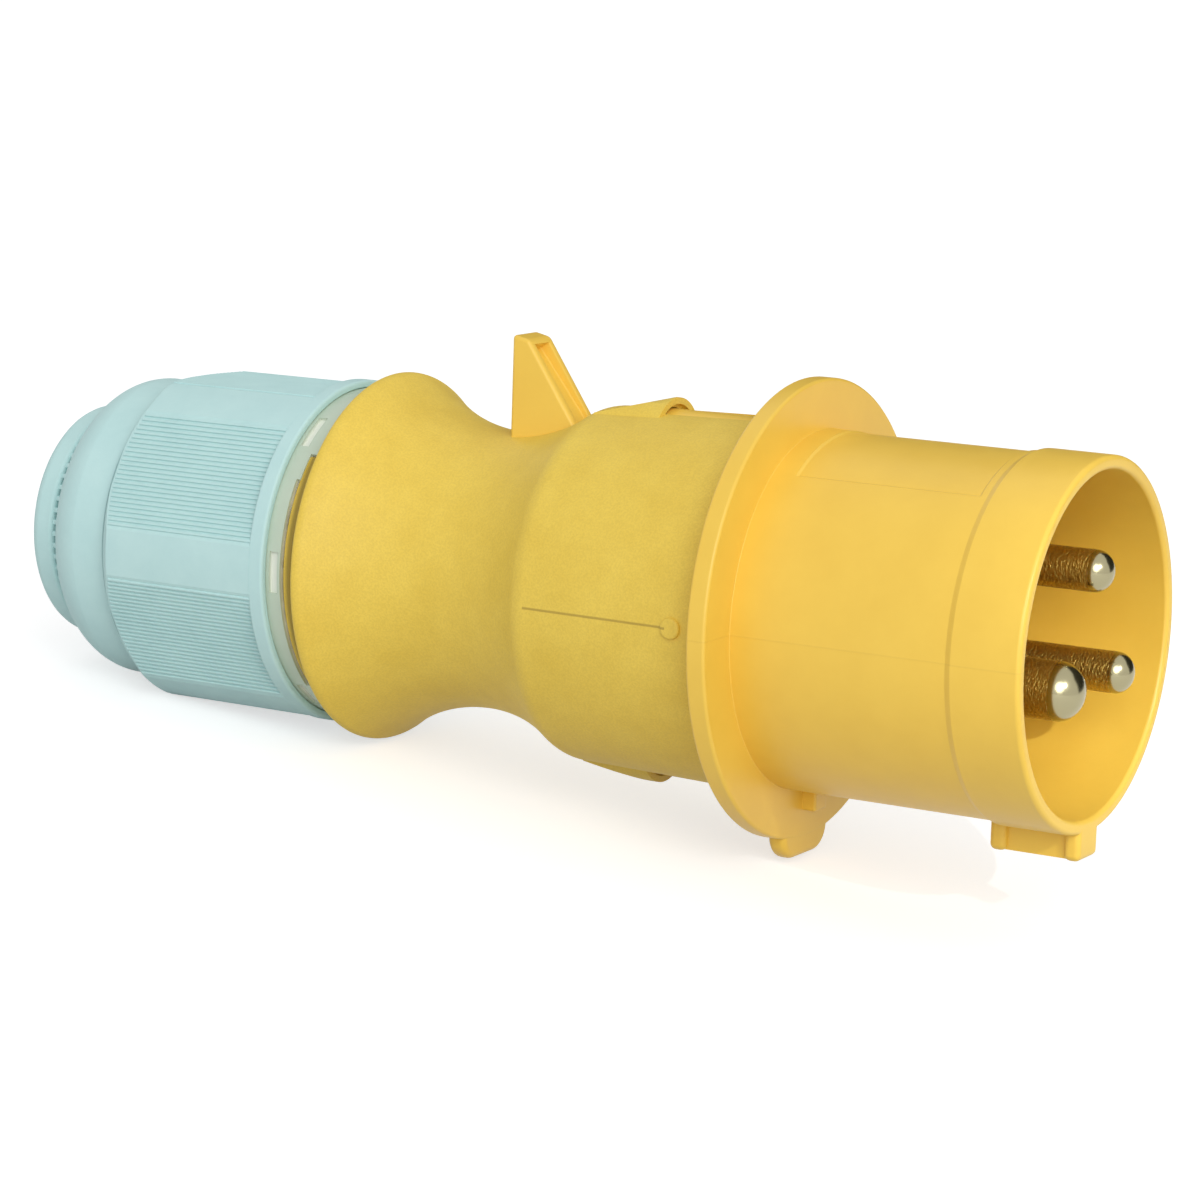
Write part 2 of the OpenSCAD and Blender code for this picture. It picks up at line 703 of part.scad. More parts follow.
// Clamp cage: a base ring on the end of the threaded spigot, with fingers behind it
module clamp_cage() {
    color("#d9d7cf") lying() difference() {
        rotate_extrude() polygon([
            [bush_r + fit_gap, thread_end], [cage_r, thread_end], [cage_r, cone_top],
            [finger_out(finger_end), finger_end], [finger_in(finger_end), finger_end],
            [bush_r + fit_gap, bush_cone_top]]);
        for (i = [0:finger_count - 1]) rotate([0, 0, 360 * (i + 0.5) / finger_count])
            translate([0, -finger_slot / 2, finger_end - 1])
                cube([cage_r + 1, finger_slot, cage_rear - finger_end + 1]);
    }
}

// Lock ring: slides on the threaded spigot, guided by two lugs, and reaches round the
// handle's collar to the bulge between two notches
module lock_ring() {
    ring_len = ring_front - ring_rear;
    reach_r = collar_r + run_gap;
    color("#dfe8d3") lying() difference() {
        union() {
            rotate_extrude() polygon([
                [ring_bore_r, ring_front], [reach_r, ring_front], [reach_r, rest_front],
                [ring_r, rest_front], [ring_r, nut_front - ring_lip],
                [ring_tail_r, nut_front - ring_lip], [ring_tail_r, ring_rear], [ring_bore_r, ring_rear]]);
            for (side = [90, -90]) rotate([0, 0, side])
                translate([ring_bore_r - lug_h, -lug_w / 2, ring_rear])
                    cube([lug_h + ring_tail_wall / 2, lug_w, ring_len]);
        }
        for (side = [-1, 1]) rotate([0, 0, side * notch_middle - notch_angle / 2])
            rotate_extrude(angle = notch_angle)
                translate([collar_r, ring_front]) square([ring_r, collar_len + 1]);
        for (side = [90, -90], i = [-1:1]) rotate([0, 0, side + i * window_pitch])
            translate([ring_r - window_depth, -window_w / 2, nut_front + (ring_show - window_h) / 2])
                cube([window_depth + 1, window_w, window_h]);
    }
}

// Gland nut: dome and collar turned about the axis, six ribbed flats on the grip
module nut_body() {
    front_round = 0.4;
    line_depth = 0.4;
    line_w = 0.7;
    dome_turn = 2 * atan2(dome_drop, dome_arc_z - groove_z);
    dome_round = dome_drop / (1 - cos(dome_turn));
    front_edge = arc([nut_front_r - front_round, nut_front - front_round], front_round, 90, 0, 4);
    rear_edge = [[nut_rear_r, step_z + grip_edge], [nut_rear_r - grip_edge, step_z]];
    dome = arc([dome_r - dome_round, dome_arc_z], dome_round, 0, -dome_turn, 16);
    collar_front = arc([exit_collar_r - exit_round / 2, exit_z - exit_round / 2], exit_round / 2, 90, 0, 6);
    collar_rear = arc([exit_collar_r - exit_round, nut_end + exit_round], exit_round, 0, -90, 8);
    groove_r = exit_collar_r - groove_depth;
    rotate_extrude() polygon(concat(
        [[lip_r, nut_front]], front_edge, rear_edge,
        [[dome_r - line_depth, step_z], [dome_r - line_depth, step_z - line_w], [dome_r, step_z - line_w]],
        dome, [[groove_r, groove_z], [groove_r, exit_z]], collar_front, collar_rear,
        [[exit_r, nut_end], [exit_r, cone_end], [thread_bore_r, cone_top],
         [thread_bore_r, ring_floor], [ring_seat_r, ring_floor],
         [ring_seat_r, lip_floor], [lip_r, lip_floor]]));
}

// Fine ribs across one flat, as one comb
module rib_comb() {
    first = -rib_count * rib_pitch / 2;
    rooted = 0.3;
    teeth = [for (i = [0:rib_count - 1], p = [[0, 0.1], [rib_h, 0.35], [rib_h, 0.65], [0, 0.9]])
        [p[0], first + (i + p[1]) * rib_pitch]];
    polygon(concat([[-rooted, first + rib_pitch / 2]], teeth, [[-rooted, -first - rib_pitch / 2]]));
}

module gland_nut() {
    flat_len = (rib_front - step_z) / cos(flat_tilt);
    color("#b9dcda") lying() {
        difference() {
            nut_body();
            for (i = [0:5]) rotate([0, 0, 60 * i])
                translate([flat_rear, -flat_w, step_z]) rotate([0, flat_tilt, 0])
                    cube([nut_front_r, 2 * flat_w, flat_len]);
        }
        for (i = [0:5]) rotate([0, 0, 60 * i])
            translate([flat_rear, 0, step_z]) rotate([0, flat_tilt, 0])
                translate([0, 0, grip_edge]) linear_extrude(flat_len - grip_edge + 0.3) rib_comb();
        for (i = [0:groove_teeth - 1]) rotate([0, 0, 360 * i / groove_teeth])
            translate([exit_collar_r - groove_depth - 0.5, -0.3, exit_z - 0.2])
                cube([0.5 + groove_depth * 0.4, 0.6, groove_w + 0.4]);
    }
}

front_shell();
contact_carrier();
retainer_plate();
carrier_screws();
line_pin_upper();
line_pin_lower();
earth_pin();
terminal_screws();
body_seal();
handle();
lid_catch();
cable_seal();
clamp_cage();
lock_ring();
gland_nut();
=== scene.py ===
# Industrial plug for 16 A: a keyed shroud with three pins, a waisted handle, a lid catch
# and a ribbed cable gland nut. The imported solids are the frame, and what shows of the plug
# is modelled here over them, piece by piece from the mouth back to the cable's exit.
import json
from math import asin, atan, atan2, cos, degrees, hypot, pi, radians, sin, sqrt, tan

import bmesh
import bpy
from mathutils import Matrix, Vector


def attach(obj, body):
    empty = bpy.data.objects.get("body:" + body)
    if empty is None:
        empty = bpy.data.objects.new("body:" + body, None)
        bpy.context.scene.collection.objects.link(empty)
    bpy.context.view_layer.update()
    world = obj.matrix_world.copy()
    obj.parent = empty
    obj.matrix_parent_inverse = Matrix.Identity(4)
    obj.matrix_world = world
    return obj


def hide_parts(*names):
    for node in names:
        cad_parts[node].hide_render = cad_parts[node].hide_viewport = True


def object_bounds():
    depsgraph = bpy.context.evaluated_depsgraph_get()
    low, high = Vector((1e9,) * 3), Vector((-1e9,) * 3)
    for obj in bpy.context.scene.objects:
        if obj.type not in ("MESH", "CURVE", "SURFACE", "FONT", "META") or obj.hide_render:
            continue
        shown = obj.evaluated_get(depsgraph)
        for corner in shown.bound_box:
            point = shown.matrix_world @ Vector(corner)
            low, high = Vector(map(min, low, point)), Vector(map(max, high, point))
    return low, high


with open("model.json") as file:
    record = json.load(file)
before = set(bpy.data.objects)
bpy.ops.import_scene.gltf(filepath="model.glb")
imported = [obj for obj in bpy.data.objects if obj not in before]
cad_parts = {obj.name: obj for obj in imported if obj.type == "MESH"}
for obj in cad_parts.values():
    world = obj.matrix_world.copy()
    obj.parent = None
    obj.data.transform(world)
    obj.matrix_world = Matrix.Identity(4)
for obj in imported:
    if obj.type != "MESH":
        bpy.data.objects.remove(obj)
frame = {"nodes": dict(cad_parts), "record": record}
cad_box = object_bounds()

# Front shell: shroud, flange and spigot are one injection moulding in smooth yellow polyamide.
# Like every piece it is drawn standing up, with the flange's front face at height 0, the mouth
# above it and the key towards +X, and is then laid down as the frame has it.
MM = 0.001
FULL_TURN = 144
shroud_mount = next(m for m in frame["record"]["mounts"] if m["name"] == "shroud")
pitch = atan2(shroud_mount["axis"][2], shroud_mount["axis"][0])
shroud_len = shroud_mount["dims"]["length_mm"]
band_r = shroud_mount["dims"]["r_mm"]
shroud_r = 21.9
cavity_r = 20.6
band_z = shroud_len - 8.6
flange_r = 28.0
flange_t = 2.5
spigot_r = 20.3
spigot_bore_r = 18.6
spigot_end = -23.0
ledge_r = 14.0
ledge_t = 3.0


def rounded(corners):
    """Outline in mm from corners of (radius, height, rounding)."""
    outline = []
    steps = 5
    for i, (r, z, rounding) in enumerate(corners):
        corner = Vector((r, z))
        if rounding == 0:
            outline.append(corner)
            continue
        before = (Vector(corners[i - 1][:2]) - corner).normalized()
        after = (Vector(corners[(i + 1) % len(corners)][:2]) - corner).normalized()
        half = before.angle(after) / 2
        centre = corner + (before + after).normalized() * rounding / sin(half)
        start = corner + before * rounding / tan(half) - centre
        end = corner + after * rounding / tan(half) - centre
        for k in range(steps + 1):
            outline.append(centre + start.slerp(end, k / steps).normalized() * rounding)
    return outline


def turned(name, outline, steps=FULL_TURN):
    """Draws an outline of (radius, height) in mm point by point and spins it about the plug's axis."""
    bpy.ops.object.select_all(action="DESELECT")
    bpy.ops.mesh.primitive_plane_add(size=MM)
    piece = bpy.context.object
    piece.name = name
    bpy.ops.object.mode_set(mode="EDIT")
    bpy.ops.mesh.select_mode(type="VERT")
    bpy.ops.mesh.merge(type="CENTER")
    at = Vector((0, 0))
    for k, point in enumerate(list(outline) + [outline[0]]):
        step = ((point[0] - at[0]) * MM, 0, (point[1] - at[1]) * MM)
        if k == 0:
            bpy.ops.transform.translate(value=step)
        else:
            bpy.ops.mesh.extrude_vertices_move(TRANSFORM_OT_translate={"value": step})
        at = point
    bpy.ops.mesh.select_all(action="SELECT")
    bpy.ops.mesh.remove_doubles(threshold=MM / 1000)
    bpy.ops.mesh.spin(steps=steps, angle=2 * pi, center=(0, 0, 0), axis=(0, 0, 1))
    bpy.ops.mesh.select_all(action="SELECT")
    bpy.ops.mesh.remove_doubles(threshold=MM / 1000)
    bpy.ops.mesh.normals_make_consistent(inside=False)
    bpy.ops.object.mode_set(mode="OBJECT")
    return piece


def bar(name, low, high):
    """A block between two corners in mm."""
    bpy.ops.object.select_all(action="DESELECT")
    size = [(b - a) * MM for a, b in zip(low, high)]
    middle = [(b + a) / 2 * MM for a, b in zip(low, high)]
    bpy.ops.mesh.primitive_cube_add(size=1, location=middle, scale=size)
    bpy.context.object.name = name
    bpy.ops.object.transform_apply(location=True, rotation=True, scale=True)
    return bpy.context.object


def select_only(*pieces):
    """Selects these pieces and no others, with the first one active."""
    bpy.ops.object.select_all(action="DESELECT")
    for piece in pieces:
        piece.select_set(True)
    bpy.context.view_layer.objects.active = pieces[0]


def pick(piece, kind, test):
    """Edit mode with those faces or edges selected that pass the test.

    The test gets the middle in mm and a face's normal or an edge's direction.
    """
    select_only(piece)
    bpy.ops.object.mode_set(mode="EDIT")
    bpy.ops.mesh.select_mode(type="FACE" if kind == "faces" else "EDGE")
    bpy.ops.mesh.select_all(action="DESELECT")
    mesh = bmesh.from_edit_mesh(piece.data)
    for part in getattr(mesh, kind):
        if kind == "faces":
            part.select_set(test(part.calc_center_median() / MM, part.normal))
        else:
            a, b = (v.co / MM for v in part.verts)
            part.select_set(test((a + b) / 2, b - a))
    bmesh.update_edit_mesh(piece.data)


def soften(piece, width, test=lambda middle, along: True, sharper=30, segments=3):
    """Rounds by a width in mm the edges that pass the test and bend by more than an angle in degrees."""
    pick(piece, "edges", test)
    mesh = bmesh.from_edit_mesh(piece.data)
    for edge in mesh.edges:
        flat = len(edge.link_faces) != 2 or edge.calc_face_angle() < radians(sharper)
        if edge.select and flat:
            edge.select_set(False)
    bmesh.update_edit_mesh(piece.data)
    bpy.ops.mesh.bevel(offset=width * MM, segments=segments, affect="EDGES", clamp_overlap=True)
    bpy.ops.object.mode_set(mode="OBJECT")


def trim(piece, point, outwards):
    """Cuts the piece at a plane through a point in mm, drops what lies outwards and caps the cut."""
    pick(piece, "faces", lambda middle, normal: True)
    bpy.ops.mesh.bisect(
        plane_co=Vector(point) * MM, plane_no=Vector(outwards).normalized(),
        use_fill=True, clear_outer=True, threshold=MM / 10000)
    bpy.ops.object.mode_set(mode="OBJECT")


def turned_copy(piece, angle):
    """A copy with its own mesh, turned about the plug's axis."""
    select_only(piece)
    bpy.ops.object.duplicate()
    copy = bpy.context.object
    copy.rotation_euler = (0, 0, angle)
    bpy.ops.object.transform_apply(location=True, rotation=True, scale=True)
    return copy


def joined(piece, *others):
    """One object made of several closed parts of the same moulding."""
    select_only(piece, *others)
    bpy.ops.object.join()
    return piece


def combine(piece, other, operation):
    """Applies a boolean of the piece with another one, which is used up."""
    select_only(piece)
    step = piece.modifiers.new("combine", "BOOLEAN")
    step.operation = operation
    step.solver = "EXACT"
    step.object = other
    bpy.ops.object.modifier_apply(modifier=step.name)
    bpy.data.objects.remove(other)


def cut(piece, cutter):
    """Takes the cutter's shape out of the piece."""
    combine(piece, cutter, "DIFFERENCE")


def fused(piece, *others):
    """Makes one closed skin of the piece and what is moulded onto it."""
    for other in others:
        combine(piece, other, "UNION")
    return piece


def lay_down(piece, node, body, material):
    """Lays the finished piece down, gives it its finish and puts it in place of its solid."""
    select_only(piece)
    bpy.ops.object.shade_smooth_by_angle(angle=radians(32))
    shading = piece.modifiers.new("flat faces", "WEIGHTED_NORMAL")
    shading.keep_sharp = True
    bpy.ops.object.modifier_apply(modifier=shading.name)
    piece.rotation_euler = (0, pi / 2 - pitch, 0)
    bpy.ops.object.transform_apply(location=True, rotation=True, scale=True)
    piece.data.materials.clear()
    piece.data.materials.append(material)
    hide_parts(node)
    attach(piece, body)


field_half_turn = radians(35)
field_low = 3.0
field_high = 26.8
shell = turned("shell", rounded([
    (cavity_r, ledge_t, 0.5), (cavity_r, shroud_len, 0.6), (band_r, shroud_len, 0.6),
    (band_r, band_z, 0.4), (shroud_r, band_z - 0.8, 0.4),
    (shroud_r, field_high, 0), (shroud_r, field_low, 0), (shroud_r, 0, 0.1),
    (flange_r, 0, 0.4), (flange_r, -flange_t, 0.4), (spigot_r, -flange_t, 0),
    (spigot_r, spigot_end, 0.3), (spigot_bore_r, spigot_end, 0.3), (spigot_bore_r, 0, 0),
    (ledge_r, 0, 0.2), (ledge_r, ledge_t, 0.2)]))

# Shallow plain field on top of the shroud
pick(shell, "faces", lambda middle, normal: (
    hypot(middle.x, middle.y) > shroud_r - 0.1 and field_low < middle.z < field_high
    and abs(atan2(middle.y, -middle.x)) < field_half_turn))
bpy.ops.mesh.inset(thickness=0.3 * MM, depth=-0.2 * MM)
bpy.ops.object.mode_set(mode="OBJECT")

# Key under the mouth: a web between two rounded end blocks
root_r = cavity_r + 1
key_r = 25.4
key_low = shroud_len - 11.6
web_half = 1.85
block_half = 2.75
block_t = 2.1
web = bar("key_web", (root_r, -web_half, key_low + 1), (key_r - 0.1, web_half, shroud_len - 1))
key_blocks = []
for low in (key_low, shroud_len - block_t):
    block = bar("key_block", (root_r, -block_half, low), (key_r, block_half, low + block_t))
    soften(block, 0.75, lambda middle, along: middle.x > band_r - 0.2, segments=5)
    key_blocks.append(block)

# Lobe that keeps the plug from rolling, and the small tooth in front of it. The lobe is a
# hair thinner than the flange, so that no two faces lie in one plane.
lobe_r = 30.3
lobe_half = 5.75
hair = 0.04
lobe = bar("lobe", (spigot_r + 0.8, -lobe_half, -flange_t + hair), (lobe_r, lobe_half, -hair))
soften(lobe, 3.2, lambda middle, along: middle.x > flange_r and abs(along.z) > 1, segments=12)
soften(lobe, 0.8, lambda middle, along: middle.x > spigot_r + 1.5, segments=6)
tooth_r = 24.5
tooth_half = 1.5
tooth_front = 1.8
tooth = bar("tooth", (root_r, -tooth_half, -flange_t / 2), (tooth_r, tooth_half, tooth_front))
soften(tooth, 0.3)

# Latch tongues above and below, which run back under the handle's hoods
arch_axis_r = 17.95
tongue_arc = 4.6
tongue_half = 2.5
tongue_end = -22.0


def arch(name, r, inner_r, low, high, vertices=128):
    """A round-topped bar along the plug's axis, flat at its inner radius; all sizes in mm."""
    bpy.ops.object.select_all(action="DESELECT")
    bpy.ops.mesh.primitive_cylinder_add(
        vertices=vertices, radius=r * MM, depth=(high - low) * MM,
        location=(arch_axis_r * MM, 0, (high + low) / 2 * MM))
    piece = bpy.context.object
    piece.name = name
    bpy.ops.object.transform_apply(location=True, rotation=True, scale=True)
    trim(piece, (inner_r, 0, 0), (-1, 0, 0))
    return piece


def narrow(piece, half):
    """Cuts an arch off on both sides at a distance in mm from its middle."""
    for side in (1, -1):
        trim(piece, (0, side * half, 0), (0, side, 0))


tongue = arch("tongue", tongue_arc, spigot_r - 0.8, tongue_end, -1, vertices=96)
narrow(tongue, tongue_half)
soften(tongue, 0.3)
shell = fused(shell, web, *key_blocks, lobe, tooth, tongue, turned_copy(tongue, pi))


def linear(colour):
    """A hex colour as Blender's linear values."""
    parts = [int(colour[i:i + 2], 16) / 255 for i in (1, 3, 5)]
    return [c / 12.92 if c <= 0.04045 else ((c + 0.055) / 1.055) ** 2.4 for c in parts] + [1]


def set_inputs(material, node, inputs):
    """Sets a node's inputs, each to a value or to another node's output."""
    for name, value in inputs.items():
        if isinstance(value, bpy.types.NodeSocket):
            material.node_tree.links.new(value, node.inputs[name])
        else:
            node.inputs[name].default_value = value


def add_node(material, kind, inputs={}, **settings):
    """Adds a shader node with its settings and inputs."""
    node = material.node_tree.nodes.new(kind)
    for name, value in settings.items():
        setattr(node, name, value)
    set_inputs(material, node, inputs)
    return node


def new_material(name):
    """An empty node material and its surface shader."""
    material = bpy.data.materials.new(name)
    material.use_nodes = True
    return material, material.node_tree.nodes["Principled BSDF"]


# Smooth moulded polyamide: an even warm yellow with a soft sheen. Pigment clouds a few
# millimetres wide shift its tone a little, a fine orange peel breaks up the reflections, and
# a thin line of flash runs along each side where the mould's halves met.
polyamide_ior = 1.53
shell_yellow, surface = new_material("smooth moulded polyamide")
coords = add_node(shell_yellow, "ShaderNodeTexCoord")
clouds = add_node(shell_yellow, "ShaderNodeTexNoise", {
    "Vector": coords.outputs["Object"], "Scale": 1 / (9 * MM), "Detail": 7, "Roughness": 0.6})
tone = add_node(shell_yellow, "ShaderNodeMix", {
    "Factor": clouds.outputs["Fac"], 6: linear("#e9be45"), 7: linear("#f7cf54")}, data_type="RGBA")
peel = add_node(shell_yellow, "ShaderNodeTexNoise", {
    "Vector": coords.outputs["Object"], "Scale": 1 / (0.5 * MM), "Detail": 2})
relief = add_node(shell_yellow, "ShaderNodeBump", {
    "Height": peel.outputs["Fac"], "Strength": 0.25, "Distance": 0.03 * MM})
# Coordinates with X along the plug's axis and Z up from the seam
level = add_node(shell_yellow, "ShaderNodeMapping", {
    "Vector": coords.outputs["Object"], "Rotation": (0, pitch, 0)})
place = add_node(shell_yellow, "ShaderNodeSeparateXYZ", {"Vector": level.outputs["Vector"]})
from_seam = add_node(shell_yellow, "ShaderNodeMath", {0: place.outputs["Z"]}, operation="ABSOLUTE")
seam = add_node(shell_yellow, "ShaderNodeMapRange", {
    "Value": from_seam.outputs[0], "From Min": 0.05 * MM, "From Max": 0.13 * MM, "To Min": 1, "To Max": 0})
from_axis = add_node(shell_yellow, "ShaderNodeMath", {0: place.outputs["Y"]}, operation="ABSOLUTE")
outside = add_node(shell_yellow, "ShaderNodeMath", {
    0: from_axis.outputs[0], 1: (cavity_r + 0.5) * MM}, operation="GREATER_THAN")
flash_line = add_node(shell_yellow, "ShaderNodeMath", {
    0: seam.outputs["Result"], 1: outside.outputs[0]}, operation="MULTIPLY")
flash = add_node(shell_yellow, "ShaderNodeBump", {
    "Height": flash_line.outputs[0], "Normal": relief.outputs["Normal"],
    "Strength": 0.35, "Distance": 0.04 * MM})
seam_share = add_node(shell_yellow, "ShaderNodeMath", {
    0: flash_line.outputs[0], 1: 0.1}, operation="MULTIPLY")
tone = add_node(shell_yellow, "ShaderNodeMix", {
    "Factor": seam_share.outputs[0], 6: tone.outputs["Result"], 7: linear("#b98f36")}, data_type="RGBA")
gloss = add_node(shell_yellow, "ShaderNodeMapRange", {
    "Value": clouds.outputs["Fac"], "To Min": 0.36, "To Max": 0.46})
set_inputs(shell_yellow, surface, {
    "Base Color": tone.outputs["Result"], "Roughness": gloss.outputs["Result"],
    "Normal": flash.outputs["Normal"], "IOR": polyamide_ior})
lay_down(shell, "front_shell", "plug", shell_yellow)

# Contact carrier, retainer plate and screws: a moulded disc in the shell, closed from behind
# by a plate and two screws, and a clamping screw on each pin's terminal. The solids already
# have these shapes and stay.


def refinish(node, material):
    """Gives a solid that stays a finish of its own."""
    frame["nodes"][node].data.materials.clear()
    frame["nodes"][node].data.materials.append(material)


# Glass-filled polyamide: a dull warm grey that the fibres mottle and roughen at about a millimetre
carrier_grey, surface = new_material("moulded glass-filled polyamide")
coords = add_node(carrier_grey, "ShaderNodeTexCoord")
fibres = add_node(carrier_grey, "ShaderNodeTexNoise", {
    "Vector": coords.outputs["Object"], "Scale": 1 / (1.2 * MM), "Detail": 6})
tone = add_node(carrier_grey, "ShaderNodeMix", {
    "Factor": fibres.outputs["Fac"], 6: linear("#8d8877"), 7: linear("#a39d8a")}, data_type="RGBA")
relief = add_node(carrier_grey, "ShaderNodeBump", {
    "Height": fibres.outputs["Fac"], "Strength": 0.3, "Distance": 0.03 * MM})
set_inputs(carrier_grey, surface, {
    "Base Color": tone.outputs["Result"], "Normal": relief.outputs["Normal"], "Roughness": 0.55})
refinish("contact_carrier", carrier_grey)
refinish("retainer_plate", carrier_grey)

# Zinc-plated steel: a pale grey metal with a gloss that varies finely over the plating
screw_zinc, surface = new_material("zinc-plated steel")
coords = add_node(screw_zinc, "ShaderNodeTexCoord")
plating = add_node(screw_zinc, "ShaderNodeTexNoise", {
    "Vector": coords.outputs["Object"], "Scale": 1 / (0.4 * MM), "Detail": 3})
gloss = add_node(screw_zinc, "ShaderNodeMapRange", {
    "Value": plating.outputs["Fac"], "To Min": 0.25, "To Max": 0.45})
set_inputs(screw_zinc, surface, {
    "Base Color": linear("#c3c4c4"), "Metallic": 1, "Roughness": gloss.outputs["Result"]})
refinish("carrier_screws", screw_zinc)
refinish("terminal_screws", screw_zinc)

# Contact pins: turned from brass, with a dull worn shank and a polished, nickel-plated dome. Each
# has a collar that the carrier holds and a terminal barrel with a wire hole behind it. The sizes
# of each are its direction, radius, collar's radius, terminal's radius and the height of its tip.
pin_circle_r = 8.75
dome_share = 0.88
boss_t = 0.4
pin_collar_front = -4
pin_collar_rear = -9
terminal_end = -22
wire_hole_r = 2.0
wire_hole_end = -12.5
for name, direction, r, pin_collar_r, terminal_r, tip in (
        ("line_pin_upper", 180, 2.5, 4.58, 3.9, 38.3),
        ("line_pin_lower", 60, 2.5, 4.58, 3.9, 38.3),
        ("earth_pin", -60, 3.5, 5.28, 4.6, 38.6)):
    dome_len = dome_share * r
    dome_start = tip - dome_len
    dome_points = [(r * cos(k * pi / 24), dome_start + dome_len * sin(k * pi / 24)) for k in range(13)]
    pin = turned(name.replace("pin", "contact"), rounded([
        (0, wire_hole_end, 0), (wire_hole_r, wire_hole_end, 0), (wire_hole_r, terminal_end, 0.3),
        (terminal_r, terminal_end, 0.4), (terminal_r, pin_collar_rear, 0),
        (pin_collar_r, pin_collar_rear, 0.2), (pin_collar_r, pin_collar_front, 0.2),
        (r + boss_t, pin_collar_front, 0), (r + boss_t, ledge_t, 0.2), (r, ledge_t, 0)])
        + dome_points, steps=64)
    turn = radians(direction)
    pin.location = (pin_circle_r * cos(turn) * MM, pin_circle_r * sin(turn) * MM, 0)
    bpy.ops.object.transform_apply(location=True, rotation=True, scale=True)

    # Nickel-plated brass: the shank shows brown metal full of fine glinting tool marks, drawn at
    # 0.2 mm so that they show. Its dark brown partly paints in the shell's shaded yellow inside as a
    # reflection. It turns to bright polished nickel where the dome starts.
    nickel, surface = new_material("nickel-plated brass")
    coords = add_node(nickel, "ShaderNodeTexCoord")
    level = add_node(nickel, "ShaderNodeMapping", {
        "Vector": coords.outputs["Object"], "Rotation": (0, pitch, 0)})
    place = add_node(nickel, "ShaderNodeSeparateXYZ", {"Vector": level.outputs["Vector"]})
    tip_share = add_node(nickel, "ShaderNodeMapRange", {
        "Value": place.outputs["X"], "From Min": (dome_start - 0.1) * MM, "From Max": dome_start * MM})
    marks = add_node(nickel, "ShaderNodeMapping", {
        "Vector": level.outputs["Vector"], "Scale": (0.8, 0.4, 0.4)})
    turning = add_node(nickel, "ShaderNodeTexNoise", {
        "Vector": marks.outputs["Vector"], "Scale": 1 / (0.2 * MM), "Detail": 2})
    # Dark brown brass, partly a painted reflection of the shell's shaded yellow inside
    brass = add_node(nickel, "ShaderNodeMix", {
        "Factor": turning.outputs["Fac"], 6: linear("#866a26"), 7: linear("#d6ba66")}, data_type="RGBA")
    tone = add_node(nickel, "ShaderNodeMix", {
        "Factor": tip_share.outputs["Result"], 6: brass.outputs["Result"], 7: linear("#aca482")},
        data_type="RGBA")
    worn = add_node(nickel, "ShaderNodeMapRange", {
        "Value": turning.outputs["Fac"], "To Min": 0.5, "To Max": 0.26})
    gloss = add_node(nickel, "ShaderNodeMix", {
        "Factor": tip_share.outputs["Result"], 2: worn.outputs["Result"], 3: 0.2})
    grain = add_node(nickel, "ShaderNodeMix", {
        "Factor": tip_share.outputs["Result"], 2: turning.outputs["Fac"], 3: 0.5})
    relief = add_node(nickel, "ShaderNodeBump", {
        "Height": grain.outputs["Result"], "Strength": 1, "Distance": 0.14 * MM})
    set_inputs(nickel, surface, {
        "Base Color": tone.outputs["Result"], "Roughness": gloss.outputs["Result"],
        "Normal": relief.outputs["Normal"], "Metallic": 1})
    lay_down(pin, name, "plug", nickel)

# Handle: the rear housing, moulded in yellow polyamide with a fine grain for grip. Its barrel
# slides over the shell's spigot, and two arched hoods catch the spigot's latch tongues.
barrel_front_r = 22.8
barrel_rear_r = 22.15
barrel_bore_r = 20.5
seal_seat_r = 18.0
seal_seat_z = -24.7
shoulder_z = -28.0
shoulder_round = 4.0
waist_r = 17.5
waist_z = -43.0
bulge_r = 23.5
bulge_z = -60.2
bulge_round = 1.5
bulge_edge = 0.5
stop_z = -60.7
collar_r = 19.2
collar_z = -63.5
thread_r = 17.6
thread_end = -80.0
wire_room_r = 14.6
wire_room_front = -35.5
throat_r = 13.2
throat_end = -75.9


def arc(centre, r, start, end, steps):
    """Points on an arc in mm, from one angle in degrees to another."""
    turns = [radians(start + (end - start) * k / steps) for k in range(steps + 1)]
    return [Vector((centre[0] + r * cos(t), centre[1] + r * sin(t))) for t in turns]


def waist_arcs(crest_r, reach, rounding):
    """Radius of the hollow that runs tangent from a rounded crest to the waist, and its turn in degrees."""
    drop = crest_r - waist_r
    span = (drop ** 2 + reach ** 2) / (2 * drop)
    return span - rounding, degrees(asin(reach / span))


front_hollow, front_turn = waist_arcs(barrel_rear_r, shoulder_z - waist_z, shoulder_round)
rear_hollow, rear_turn = waist_arcs(bulge_r, waist_z - bulge_z, bulge_round)
handle = turned("grip", (
    rounded([
        (barrel_bore_r, seal_seat_z, 0), (barrel_bore_r, -flange_t, 0),
        (barrel_front_r, -flange_t, 0.6), (barrel_rear_r, shoulder_z + 1, 0)])
    + arc((barrel_rear_r - shoulder_round, shoulder_z), shoulder_round, 0, -front_turn, 10)
    + arc((waist_r + front_hollow, waist_z), front_hollow, 180 - front_turn, 180, 18)
    + arc((waist_r + rear_hollow, waist_z), rear_hollow, 180, 180 + rear_turn, 22)[1:]
    + arc((bulge_r - bulge_round, bulge_z), bulge_round, rear_turn, 0, 12)
    + arc((bulge_r - bulge_edge, bulge_z), bulge_edge, 0, -90, 6)[1:]
    + rounded([
        (collar_r, stop_z, 0), (collar_r, collar_z, 0.2), (thread_r, collar_z, 0),
        (thread_r, thread_end, 0.4), (wire_room_r, thread_end, 0.2), (wire_room_r, throat_end, 0),
        (throat_r, throat_end, 0), (throat_r, stop_z, 0), (wire_room_r, bulge_z + 1.4, 0),
        (wire_room_r, wire_room_front, 0), (seal_seat_r, seal_seat_z, 0)])))

# Raised ridge on each side of the collar behind the bulge, which shows in the lock ring's cut-out
ridge_middle = radians(88.75)
ridge_half = radians(43.75)
ridge_root_r = 18.7
ridge_step_r = 19.7
ridge_r = 20.8


